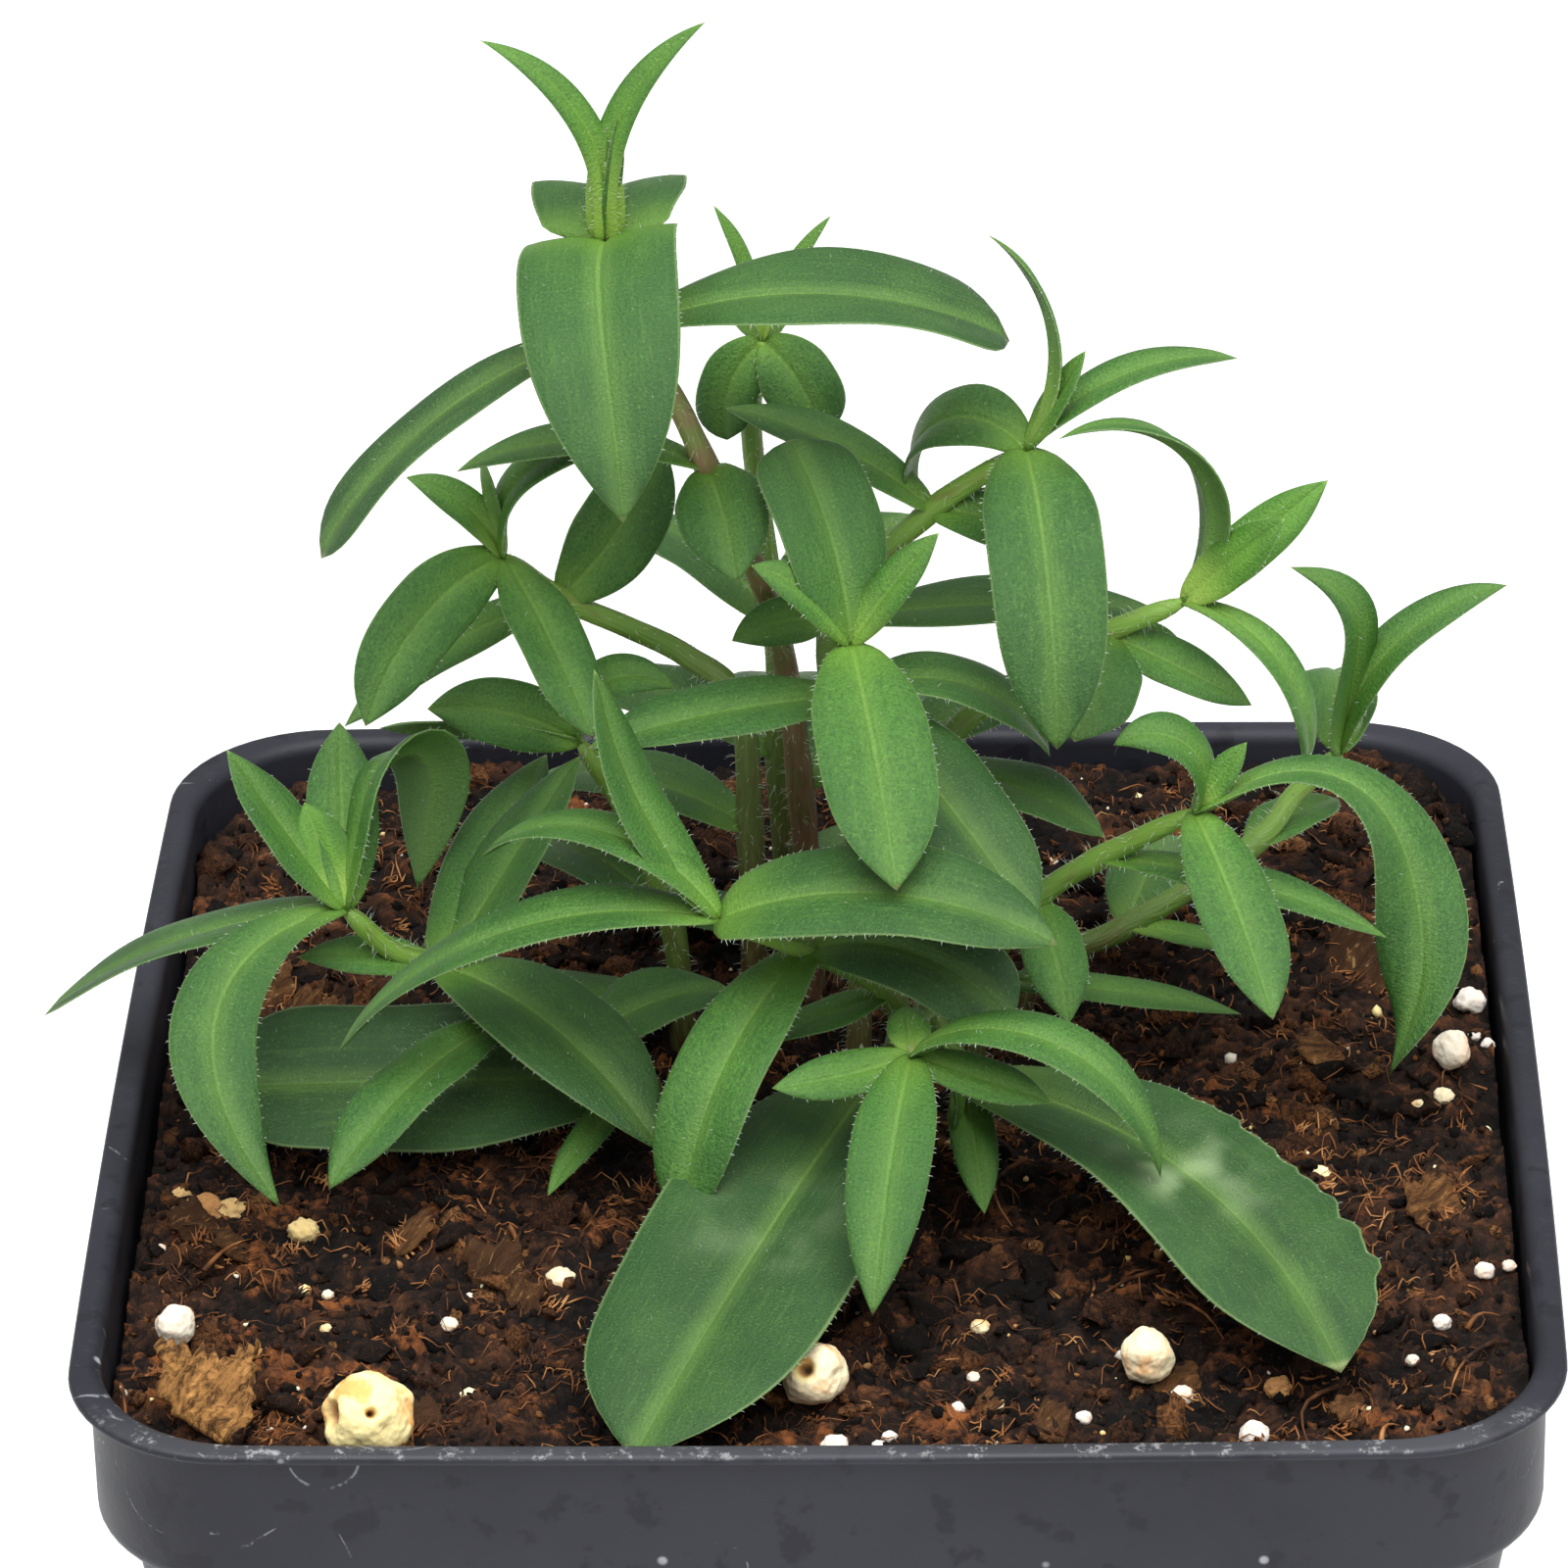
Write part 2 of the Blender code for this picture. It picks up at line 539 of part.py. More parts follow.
def fold_share(s, fold):
    """How much of the droop is spent at a place along the leaf. A fold gathers it about one place."""
    if fold is None:
        return s
    t = min(max((s - fold + 0.25) / 0.5, 0), 1)
    return t * t * (3 - 2 * t)


def half_width(s, leaf):
    peak = leaf.get("peak", 0.42)
    base = leaf.get("base", LEAF_BASE)
    if s < peak:
        share = base + (1 - base) * sin(pi / 2 * s / peak)
    else:
        share = cos(pi / 2 * ((s - peak) / (1 - peak)) ** leaf.get("blunt", 1.5))
    return max(leaf["wide"] / 2 * share, TIP_HALF)


def leaf_frames(start, leaf):
    """Place, side and face direction at each fine step along a leaf's midrib."""
    step = leaf["long"] / FINE_STEPS
    place = Vector(start)
    frames = []
    for i in range(FINE_STEPS + 1):
        s = i / FINE_STEPS
        rise = radians(leaf["rise"] - leaf["droop"] * fold_share(s, leaf.get("fold")))
        heading = radians(leaf["heading"] + leaf.get("sweep", 0) * s ** leaf.get("late", 1))
        roll = radians(leaf.get("roll", 0) + leaf.get("twist", 0) * s)
        along = Vector((cos(rise) * cos(heading), cos(rise) * sin(heading), sin(rise)))
        level = Vector((-sin(heading), cos(heading), 0))
        side = level * cos(roll) + along.cross(level) * sin(roll)
        frames.append((place.copy(), side, along.cross(side)))
        place += along * step
    return frames


def leaf_solid(name, start, leaf, collection):
    rows = SHORT_LEAF_ROWS if leaf["long"] < SHORT_LEAF else LEAF_ROWS
    bm = bmesh.new()
    bmesh.ops.create_grid(bm, x_segments=2, y_segments=rows, size=1)
    frames = leaf_frames(start, leaf)
    for vert in bm.verts:
        column, row = vert.index % 3 - 1, vert.index // 3
        place, side, face = frames[row * FINE_STEPS // rows]
        half = half_width(row / rows, leaf)
        spot = place + side * half * column + face * CUP * half * abs(column)
        vert.co = (spot + Vector((0, 0, POT_HEIGHT))) * MM
    bmesh.ops.triangulate(bm, faces=bm.faces)
    blade = mesh_object(name, bm, collection)
    solidify = blade.modifiers.new("thickness", "SOLIDIFY")
    solidify.thickness = BLADE * MM
    solidify.offset = 0
    return blade


def make_shoot(name, shoot, parts, cutters):
    stem = stem_solid(name, shoot["stem"], parts)
    for number, leaf in enumerate(shoot["leaves"]):
        leaf_solid(f"{name}_leaf_{number}", shoot["stem"][leaf["at"]], leaf, cutters)
    cut(stem, cutters, "UNION", "MANIFOLD")
    keep_largest_shell(stem)
    finish(stem, plain_material(name + "_green", LEAF_GREEN, 0.45), True)
    return stem


def main():
    clear_scene()
    parts = new_collection("potted_phlox")
    cutters = new_collection("cutters")
    cutters.hide_render = True
    make_pot(parts, cutters)
    make_soil(parts, cutters)
    for name, grain in GRAINS.items():
        solid = grain_solid(name, grain, 0, parts)
        finish(solid, plain_material(name, grain.get("colour", PERLITE_COLOUR), 0.85), False)
    for name, shoot in SHOOTS.items():
        make_shoot(name, shoot, parts, cutters)


main()
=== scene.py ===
"""Looks of the potted woodland phlox: fine leaves, stems, peat and pot.

Sizes are in millimetres until MM turns them into metres. +Z is up and the front is at -Y.
"""

import json
from dataclasses import dataclass
from math import cos, exp, pi, radians, sin, sqrt
from random import Random

import bmesh
import bpy
from mathutils import Matrix, Vector, noise

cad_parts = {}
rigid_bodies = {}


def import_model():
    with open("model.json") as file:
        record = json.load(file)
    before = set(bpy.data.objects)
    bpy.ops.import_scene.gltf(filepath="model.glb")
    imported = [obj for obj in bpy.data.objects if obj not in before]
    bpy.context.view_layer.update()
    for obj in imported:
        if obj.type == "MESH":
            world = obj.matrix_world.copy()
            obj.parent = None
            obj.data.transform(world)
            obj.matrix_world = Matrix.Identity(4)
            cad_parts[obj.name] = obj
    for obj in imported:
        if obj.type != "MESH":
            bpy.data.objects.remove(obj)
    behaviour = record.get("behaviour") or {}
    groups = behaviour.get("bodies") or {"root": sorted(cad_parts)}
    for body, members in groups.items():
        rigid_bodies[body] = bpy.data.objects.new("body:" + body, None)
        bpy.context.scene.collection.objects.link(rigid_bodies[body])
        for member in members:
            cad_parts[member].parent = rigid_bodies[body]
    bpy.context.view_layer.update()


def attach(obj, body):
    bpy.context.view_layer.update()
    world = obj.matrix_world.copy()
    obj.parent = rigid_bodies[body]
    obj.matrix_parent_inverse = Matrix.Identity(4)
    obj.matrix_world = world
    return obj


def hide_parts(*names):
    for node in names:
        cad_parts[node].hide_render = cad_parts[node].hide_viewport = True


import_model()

MM = 0.001
WELD = 0.0005

# A skin's blade, size and tint where its finish reads none of them
PLAIN = ((0, 0, 0), (0, 0, 0), 0)

# Camera: a long lens in front of the pot, above it and a little to the right
CAMERA_YAW = 1.8
CAMERA_PITCH = 28.96
CAMERA_ROLL = -1.30
CAMERA_DISTANCE = 489.4
CAMERA_RIGHT = 2.52
CAMERA_UP = -16.88
LENS = 184.32
SENSOR = 36.0

# Floor and light, in metres
FLOOR_SIZE = 8.0
FLOOR_WHITE = (0.92, 0.92, 0.92, 1)
FLOOR_SOFT = (0.94, 0.94, 0.94, 1)
SKY_WHITE = (1, 1, 1, 1)
SKY_LOW = 0.32
SKY_HIGH = 0.78
TOP_LIGHT_POWER = 14.5
TOP_LIGHT_SIZE = 1.0
TOP_LIGHT_PLACE = (0.05, -0.3, 0.9)

# Pot, as its solid, with finer corners
POT_HEIGHT = 76.0
RIM_HALF = 43.0
RIM_CORNER = 9.75
LIP_OVERHANG = 1.1
LIP_THICKNESS = 0.7
COLLAR_HEIGHT = 10.5
COLLAR_STEP = 1.5
BASE_HALF = 31.0
WALL = 0.7
LIP_DOME = 0.9
LIP_FILLET = 0.35
INNER_HALF = RIM_HALF - LIP_OVERHANG - WALL
FLOOR = 1.4
SIDE_BOW = 0.3
BASE_ROUND = 0.8
CORNER_STEPS = 14
SIDE_STEPS = 16
LIP_ARC_STEPS = 8
COLLAR_ARC_STEPS = 6
SMALL_ARC_STEPS = 4
DRAIN_RADIUS = 4.0
DRAIN_OFFSET = 17.0
DRAIN_SIDES = 32

# Soil: heights are from the top of the rim
GAP = 0.3
SOIL_LEVEL = -2.7
SOIL_TILT_RIGHT = 0.018
SOIL_TILT_BACK = 0.012
LUMP_HEIGHT = 0.9
LUMP_SIZE = 6.5
CRUMB_HEIGHT = 0.5
CRUMB_SIZE = 3.0
SOIL_CELLS = 280
CLOD_HEIGHT = 1.3
CLOD_SIZE = 4.2
GRIT_HEIGHT = 0.55
GRIT_SIZE = 1.3
ROUGH_HEIGHT = 0.5
ROUGH_SIZE = 1.1
BEND = 0.8
BEND_SIZE = 1.7
NOISE_SEED = 1

# Loose bits on the soil: how many, and their sizes
CHIPS = 1300
CHIP_SIZES = (0.7, 3.6)
CRUMBS = 3600
CRUMB_SIZES = (0.3, 1.0)
DUST_GRAINS = 170
DUST_SIZES = (0.25, 0.8)
FIBRES = 2100
FIBRE_LENGTHS = (0.5, 3.4)
FIBRE_POINTS = 6
FIBRE_RADIUS = 0.07
FIBRE_TURN = 0.8
FIBRE_BEND = 0.5
FIBRE_LIFT = 0.8
TUFTS = 330
TUFT_LENGTHS = (0.7, 1.8)
FIBRES_IN_TUFT = (5, 14)
FIBRES_IN_FLAKE = 34
TUFT_RADIUS = 0.11
TUFT_SPREAD = 0.4
TUFT_RISE = 0.7
TUFT_BOW = 0.12
SPLINTER_RADIUS = 0.2
SPLINTER_BOW = 0.2
SPLINTER_LIFT = 0.3
SPLINTER_ARCH = 0.4

# The bark chip and the flakes
BARK_STEPS = 28
BARK_TILT = 40
BARK_TAPER = 0.9
BARK_TINT = 0.8
FLAKE_STEPS = 12
FLAKE_HALF = 0.5
FLAKE_TAPER = 0.3
RAGGED_EDGE = 0.22
NOTCH_DEPTH = 0.45

# How the loose bits vary, and how far from the wall they stop
CHIP_FORMS = 8
CRUMB_FORMS = 6
BIT_TILT = 0.5
FEW_LARGE = 1.8
FEW_PALE = 1.5
BATCH = 100
LITTER_MARGIN = 0.7
FIBRE_MARGIN = 2.5

# Perlite grains
GRAIN_KNOBS = 0.16
KNOB_SIZE = 1.3
GRAIN_ROUGHNESS = 0.05
PIT_DEPTH = 0.5
GRAIN_DETAIL = 5
SMALL_GRAIN_DETAIL = 4

# Leaves: millimetres, steps and shares of the half width
BLADE = 0.36
LEAF_ROWS = 30
SHORT_LEAF = 9.0
SHORT_LEAF_ROWS = 20
FINE_STEPS = 60
ACROSS_STEPS = 5
SEEDS_PER_SHOOT = 20
WAVES = (1.1, 1.9)
WAVE_HEIGHTS = (0.03, 0.07)
BUD_WIDTH = 1.6
BUD_TINT = 0.32
TINT_PER_MM = 0.075
NIBBLED_FROM = 0.3
COARSE_BITES = 26
FINE_BITES = 60
CUP = 0.12
BULGE = 0.05
GROOVE_DEPTH = 0.13
GROOVE_HALF = 0.16
GROOVE_SHOULDER = 0.42
EDGE_BAND = 0.14
RIB_DEPTH = 0.28
RIB_HALF = 0.34

# Stems
STEM_FOOT = 0.85
STEM_TOP = 0.6
STEM_STEPS = 8
STEM_SIDES = 14
NODE_SWELL = 0.16
SWELL_STEPS = 1.6
ROUND_TOP_STEPS = 3

# Hairs
HAIR_RADIUS = 0.018
HAIRS_PER_MM_OF_STEM = 9.0
HAIRS_PER_MM_OF_MARGIN = 1.9
FACE_HAIR_SHARE = 0.5
STEM_HAIR = (0.3, 0.8)
MARGIN_HAIR = (0.15, 0.42)
FACE_HAIR = (0.15, 0.4)
HAIR_LEAN = 0.45
HAIR_SAG = 0.35
HAIR_CURL = 0.2
HAIR_ROOT = 0.08
HAIRS_ABOVE = -1.5
HAIR_SEED = 1000


@dataclass
class Leaf:
    """A leaf: the stem's point that it grows from, its course in degrees and its size in millimetres.

    Late holds the sweep back towards the tip, and fold gathers the droop about one place. Peak is where the
    leaf is widest, base its share of that width at the foot, and blunt how full its tip is.
    """

    at: int
    heading: float
    rise: float
    droop: float
    long: float
    wide: float
    roll: float = 0
    twist: float = 0
    sweep: float = 0
    late: float = 1
    fold: float = None
    peak: float = 0.42
    base: float = 0.32
    blunt: float = 1.5
    nibbled: float = 0
    tint: float = None


class Shoot:
    """The points that a stem runs through, its leaves, and how red it is."""

    def __init__(self, stem, *leaves, blush=0):
        self.stem = [Vector(point) for point in stem]
        self.leaves = leaves
        self.blush = blush


SHOOTS = {
    "shoot_tall": Shoot(
        [(-1, 12.5, -8), (-1, 12.5, -1), (-1.5, 12.5, 12), (-2.8, 11, 24.5), (-6.5, 7, 37),
         (-8.5, 6, 42.5), (-11, 4, 47.5), (-11.8, 2, 54.2)],
        Leaf(7, -95, 20, 107, 22, 9.3, roll=8, sweep=25, peak=0.32, base=0.95, tint=0.75),
        Leaf(7, 90, 27, 108, 14, 9.1, roll=-3, peak=0.4, base=0.75),
        Leaf(7, 183, 100, 77, 15.8, 2, roll=-72, twist=36, base=1),
        Leaf(7, -1, 98, 65, 16, 2.1, roll=72, twist=-36, base=1),
        Leaf(7, 180, 97, 0, 8.2, 1.4, roll=-50, base=0.6, tint=0.7),
        Leaf(7, 0, 88, 0, 7, 1.3, roll=50, base=0.6, tint=0.7),
        Leaf(6, 203, -1, 58, 23.2, 4.9, peak=0.55, blunt=4, tint=0.95),
        Leaf(6, 5, 21, 52, 23.5, 10, base=0.2, peak=0.55, blunt=5, tint=0.8),
        Leaf(4, -75, -8, 43, 8.5, 5.5, roll=15),
        Leaf(4, 182, 27, 54, 15.5, 4.6),
        Leaf(2, 55, 25, 50, 16, 6),
        blush=0.75,
    ),
    "shoot_back": Shoot(
        [(-2.5, 17, -8), (-2.5, 17, -1), (-3, 17, 12), (-3, 17.5, 21), (-4.2, 18, 34),
         (-3.4, 18, 40)],
        Leaf(5, 175, 86, 27, 9.5, 1.5, roll=-30),
        Leaf(5, -1, 75, 25, 9.5, 1.5, roll=30),
        Leaf(5, 203, -34, 70, 7.1, 3.8, roll=-50, blunt=2.5),
        Leaf(5, -28, -32, 50, 7.2, 4.7, roll=40, blunt=2.5),
        Leaf(5, 95, 15, 70, 11, 5),
        Leaf(3, 130, 30, 50, 15, 6),
        Leaf(3, 50, 30, 50, 15, 6),
        Leaf(2, 150, 25, 45, 17, 6.5),
        Leaf(2, 90, 10, 45, 17, 7),
        Leaf(1, 75, 12, 15, 13, 5),
        Leaf(1, 165, 12, 15, 13, 5),
    ),
    "shoot_upper_right": Shoot(
        [(3.5, 9, -8), (3.5, 9, -1), (1.5, 10, 14), (0.7, 10, 25), (6.8, 9, 33), (12.4, 8, 37.5)],
        Leaf(5, 193, 123, 85, 16, 2.2),
        Leaf(5, 11, 51, 63, 14.5, 4),
        Leaf(5, -1, 58, -6, 7.5, 2.6, roll=25),
        Leaf(5, 150, 42, 158, 12.6, 5.4, roll=-22, blunt=2.5),
        Leaf(5, -83, 6, 96, 21.5, 6.9, peak=0.36, blunt=2.2),
        Leaf(4, 161, 37, 34, 14.2, 5),
        Leaf(4, -19, 6, 31, 11, 4.5, roll=25),
        Leaf(3, 2, 9, 18, 20, 6.2, peak=0.5),
        Leaf(3, 208, 26, 46, 7, 3, roll=-60),
        Leaf(2, 25, 30, 45, 17, 6),
    ),
    "shoot_right": Shoot(
        [(7, 6, -8), (7, 6, -1), (5, 5.5, 9.5), (7, 6, 17), (8.7, 6, 20.3), (13, 7, 22.5),
         (17.2, 7, 25.6), (21.8, 7, 27.7)],
        Leaf(7, 201, 130, 148, 19.8, 3.7, roll=10),
        Leaf(7, 14, 38, 0, 11.4, 3.3, roll=50, tint=0.2),
        Leaf(7, -17, 46, 0, 9, 3.2, roll=60, tint=0.2),
        Leaf(7, -31, 7, 112, 14.8, 3, peak=0.5),
        Leaf(6, -104, -10, 21, 8.8, 6, roll=-20, blunt=2),
        Leaf(6, -12, -22, 4, 9.8, 3.8, roll=20),
        Leaf(6, 18, -10, 22, 5.5, 2.2, roll=40),
        Leaf(3, -27, 6, 33, 11.6, 5.4),
    ),
    "shoot_far_right": Shoot(
        [(12, 8.5, -8), (12, 8.5, -1), (14, 9, 2), (18.5, 10, 3.5), (26.2, 13, 7.4),
         (29, 15, 10), (31.8, 16, 12.4)],
        Leaf(6, 181, 97, 76, 15.2, 4, roll=-38, peak=0.35, base=0.7, fold=0.7, blunt=1.1),
        Leaf(6, 9, 83, 75, 16, 4.2, roll=10),
        Leaf(6, 90, 30, 60, 11, 5),
        Leaf(4, 50, 12, 30, 9, 4.2),
        Leaf(3, -20, 5, 15, 8, 2.6),
        Leaf(3, 75, 15, 35, 13, 5),
    ),
    "shoot_lower_right": Shoot(
        [(9, 1, -8), (9, 1, -1), (9.5, 1, 5), (12.8, 1, 10.5), (16.6, 0, 14), (22.3, -2, 18.3)],
        Leaf(5, 190, 122, 155, 9.7, 3.5, roll=-30),
        Leaf(5, 7, 55, 0, 5.5, 2, roll=45),
        Leaf(5, 8, 27, 92, 29.5, 5.8, roll=-12, twist=28, sweep=-190, late=2, fold=0.3, peak=0.55),
        Leaf(5, -72, -12, 26, 15.6, 4.9, blunt=2),
        Leaf(4, -20, 6, 25, 18.5, 4),
        Leaf(3, -75, -5, 50, 9, 4),
        Leaf(2, -6, 0, 11, 16, 3.4),
    ),
    "shoot_centre": Shoot(
        [(2, 3, -8), (2, 3, -1), (2.4, 3, 14), (1.9, 1, 24.6), (2, -1, 29.2)],
        Leaf(4, 118, 84, 62, 13.4, 6.6, peak=0.5, blunt=4.5),
        Leaf(4, 190, 67, 44, 8.5, 2.9, roll=-45),
        Leaf(4, 4, 59, 11, 9, 2.7, roll=45),
        Leaf(4, -80, -8, 37, 18, 6.9, blunt=2, tint=0.5),
        Leaf(3, 200, 8, 18, 16.5, 5.4, roll=-10),
        Leaf(3, -2, 32, 102, 14.3, 6.2),
        Leaf(3, -54, -11, 22, 20, 7.2, blunt=2, tint=0.95),
        blush=0.35,
    ),
    "shoot_upper_left": Shoot(
        [(-4.5, 7.5, -8), (-4.5, 7.5, -1), (-4.5, 7.5, 12), (-5, 8, 20.5), (-8.2, 9.5, 23),
         (-11.7, 9.5, 25), (-15.7, 9, 27.3), (-18.9, 8, 30.6)],
        Leaf(7, 181, 71, 55, 8.2, 2.5, roll=-40),
        Leaf(7, 145, 69, -19, 6.6, 2.2, roll=65),
        Leaf(7, 0, 103, 117, 11.8, 3.6, roll=15),
        Leaf(7, -132, 5, 69, 14.6, 4.8, roll=-42, blunt=2),
        Leaf(7, -63, -16, 24, 14, 4.3, base=0.25, blunt=2.2),
        Leaf(6, 24, 34, -44, 12, 5.3, roll=60),
        Leaf(6, 178, -20, 28, 16.4, 3.5, roll=-30),
        Leaf(2, 150, 20, 45, 16, 6),
    ),
    "shoot_small_left": Shoot(
        [(-9, 7, -8), (-9, 7, -1), (-9.5, 7, 6), (-12, 7, 13.5), (-14.6, 6, 19)],
        Leaf(4, 180, 35, 42, 9.7, 4.2, roll=-60),
        Leaf(4, 171, 0, 0, 12.5, 4, roll=45),
        Leaf(4, -8, 103, 139, 9.3, 3.3, roll=35),
        Leaf(2, 135, 25, 50, 15, 6),
        Leaf(1, 172, 15, 20, 13, 5),
    ),
    "shoot_lower_left": Shoot(
        [(-10.5, -3.5, -8), (-10.5, -3.5, -1), (-11, -3.5, 0.8), (-14.5, -3.2, 3.2), (-19.2, -3.5, 5),
         (-22.9, -0.5, 7), (-26, -1, 8.6), (-28.6, -2, 12)],
        Leaf(7, 148, 42, -8, 12, 4.3),
        Leaf(7, 123, 49, 0, 7, 3.5, roll=-25, tint=0.15),
        Leaf(7, 65, 66, 168, 22, 5.2, sweep=-35, roll=-40, fold=0.5),
        Leaf(7, 94, 52, 19, 12, 4.4),
        Leaf(7, 172, -8, 34, 21.5, 6, roll=5, tint=0.85),
        Leaf(7, -158, 1, 48, 25.7, 5.3, sweep=128, tint=0.75),
        Leaf(5, 60, 48, 22, 15.1, 5.4, base=0.6),
        Leaf(5, 34, 50, 2, 15.3, 5.6),
        Leaf(5, -44, 10, 52, 20, 8),
        Leaf(5, 186, 20, 23, 9, 3.2, roll=-20),
        Leaf(4, -127, 9, 44, 17.3, 4.9, blunt=2),
        Leaf(2, 183, 3, 4, 26.5, 10.6, roll=-27, peak=0.5, blunt=3),
        Leaf(3, 20, 35, 50, 10, 6.5),
        Leaf(2, -121, 0, 28, 11, 2.4),
    ),
    "shoot_front": Shoot(
        [(4, -4, -8), (4, -4, -1), (4.5, -5.5, 4), (4.2, -7, 8.8), (-0.6, -9, 13),
         (-5.7, -12, 16.9)],
        Leaf(5, 146, 36, -46, 17, 4.3),
        Leaf(5, 156, 54, 106, 18.3, 4.2),
        Leaf(5, 175, 9, 67, 27, 5.8, peak=0.3),
        Leaf(5, -17, 31, 54, 21.5, 7.7, roll=15, peak=0.25, base=0.6, blunt=2.6),
        Leaf(4, -124, -4, 79, 20, 6.1, blunt=2, tint=0.5),
        Leaf(4, -21, 29, 81, 14.2, 6, roll=30, peak=0.55, blunt=2.5, tint=0.95),
        Leaf(3, 200, -10, 0, 9, 3.5),
        Leaf(2, -112.9, -2, 14, 38.6, 13.7, base=0.2, peak=0.42, blunt=3.2, tint=1.15),
    ),
    "shoot_lower_centre": Shoot(
        [(8.6, -8.5, -8), (8.6, -8.5, -1), (8.4, -9, 4), (6.5, -10.5, 10), (5.5, -17, 10.5)],
        Leaf(4, -98, -1, 51, 18.4, 4.9),
        Leaf(4, -22, 47, 131, 20.5, 4.7),
        Leaf(4, 95, 14, 0, 4.2, 2.6),
        Leaf(4, 195, -14, -17, 8.5, 3.1, roll=-30),
        Leaf(4, -24, -7, 0, 9, 3.1, roll=20),
        Leaf(3, -56, -26, 102, 9.5, 2, roll=-40),
        Leaf(2, -32, 8, 27, 35.8, 11.6, sweep=-40, peak=0.6, blunt=2.1, nibbled=0.2, tint=1.4),
        Leaf(2, -82, -10, 25, 10, 2.8),
    ),
}

# Loose grains on the soil: centre and half sizes, millimetres from the centre of the rim
GRAINS = {
    "bark_chip": dict(centre=(-35, -34.5, -1.5), half=(2.7, 2.9, 0.9)),
    "perlite_front_left": dict(centre=(-25.6, -36.8, -1.3), half=(2.7, 2.4, 2.3), golden=0.46,
                               pits=[((0.15, -0.85, 0.62), 0.12), ((-0.85, -0.4, 0.3), 0.34)]),
    "perlite_front": dict(centre=(-0.2, -32.6, -1.4), half=(1.9, 1.9, 1.9), golden=0.25,
                          pits=[((-0.3, -0.7, 0.65), 0.35)]),
    "perlite_front_right": dict(centre=(19, -31, -1.3), half=(1.5, 1.6, 1.6), golden=0.25),
    "perlite_left": dict(centre=(-37.5, -26.5, -1.8), half=(1.2, 1.2, 1.2), golden=0.08),
    "perlite_right": dict(centre=(38.2, 1.5, -0.4), half=(1.1, 1.3, 1.2), golden=0.08),
}

# Small grains on the soil: place, half size and how golden each is
SMALL_GRAINS = [
    (-15.4, -19.3, 0.9, 0.3), (1.1, -37.9, 0.8, 0), (-12.6, -38.5, 0.45, 0), (4.2, -36.4, 0.45, 0),
    (8.1, -34, 0.45, 0), (9, -31, 0.42, 0.1), (-21.7, -24.7, 0.5, 0.1), (-20.7, -20.7, 0.28, 0),
    (-20.1, -30.6, 0.7, 0.4), (29.8, -9.3, 0.6, 0.5), (39.8, 9.2, 1, 0), (39.8, 4.9, 0.4, 0),
    (40.6, 4.7, 0.45, 0), (36, -2.2, 0.5, 0.4), (37.6, -1.1, 0.65, 0.3), (40, -3.8, 0.4, 0.3),
    (-37.2, -10.9, 1.3, 1), (-35.6, -11.2, 1, 0.9), (-31.1, -13.1, 0.9, 0.8), (38.9, -22.2, 0.6, 0),
    (36.2, -26.7, 0.55, 0), (34.4, -29.1, 0.42, 0.1), (25, -37.5, 0.85, 0), (26.8, -38.7, 0.4, 0),
    (27.6, -39.1, 0.4, 0.3), (21, -32.4, 0.65, 0.1), (26.5, -32.7, 0.75, 1), (40.4, -21.2, 0.42, 0),
    (-38.8, -9.1, 0.6, 0.9), (-39.4, -15.8, 0.35, 0), (-30.6, -19.1, 0.38, 0.5), (-29.1, -20.6, 0.35, 0.2),
    (-28.9, -24.8, 0.38, 0.4), (-29.4, -27.4, 0.3, 0), (9.4, -25.6, 0.55, 0.4), (15.3, -35.5, 0.5, 0),
    (3.6, -37.6, 0.45, 0),
]

# Flakes of bark and peat fibre: place, half length, half width, tilt and turn
FLAKES = [
    (-19.2, -19.2, 2.2, 1.7, 55, 10), (-17.5, -21.5, 1.4, 1.2, 50, -30), (21.2, -31.5, 1.6, 1.9, 25, 40),
    (36.5, -14, 2, 1.6, 30, 20), (33, 14, 2.6, 2.2, 35, -20), (37, 22, 2.4, 2, 35, 15),
    (-35.5, 14, 2.8, 2.2, 40, 20), (-32, 9, 2.2, 2, 35, -25), (-37.5, -13.5, 1.6, 1.5, 40, 60),
    (-34.5, -17, 1.7, 1.1, 30, 80), (-24.5, -15.5, 1.5, 1.3, 35, -70), (9.5, -33.5, 1.2, 0.8, 30, -60),
    (-22.5, -33.5, 1.5, 1, 30, 30), (13.5, -37.5, 1.3, 1, 30, -15), (30.5, -36.5, 1.2, 1, 30, 50),
    (30.5, 2.5, 1.8, 1.4, 35, 65), (-8.5, -36.5, 1.3, 1, 30, 20), (20, 30, 2, 1.6, 35, 30),
]

# Splinters and curled fibres: where each starts and ends
SPLINTERS = [
    ((19.7, -24.4), (23.5, -29)), ((29.9, -33.3), (28, -39.3)), ((37.6, -27.3), (39.6, -25.9)),
    ((39.1, -28.6), (36.2, -34.6)), ((32.1, -39.2), (33.2, -37.6)), ((-30.2, -26.8), (-28.6, -25.1)),
    ((12.2, -8.5), (11.3, -16.1)), ((16, -21.1), (15.1, -25)), ((19.8, -20.3), (15.1, -25.6)),
    ((-40.4, -30.9), (-39.6, -35.6)), ((-36.5, -19.5), (-33.9, -16)), ((-18.6, -14.5), (-17.6, -18.8)),
]


def srgb(red, green, blue):
    """A colour as a screen shows it, 0 to 255, as the linear colour that a shader takes."""
    return (*[((value / 255 + 0.055) / 1.055) ** 2.4 for value in (red, green, blue)], 1)


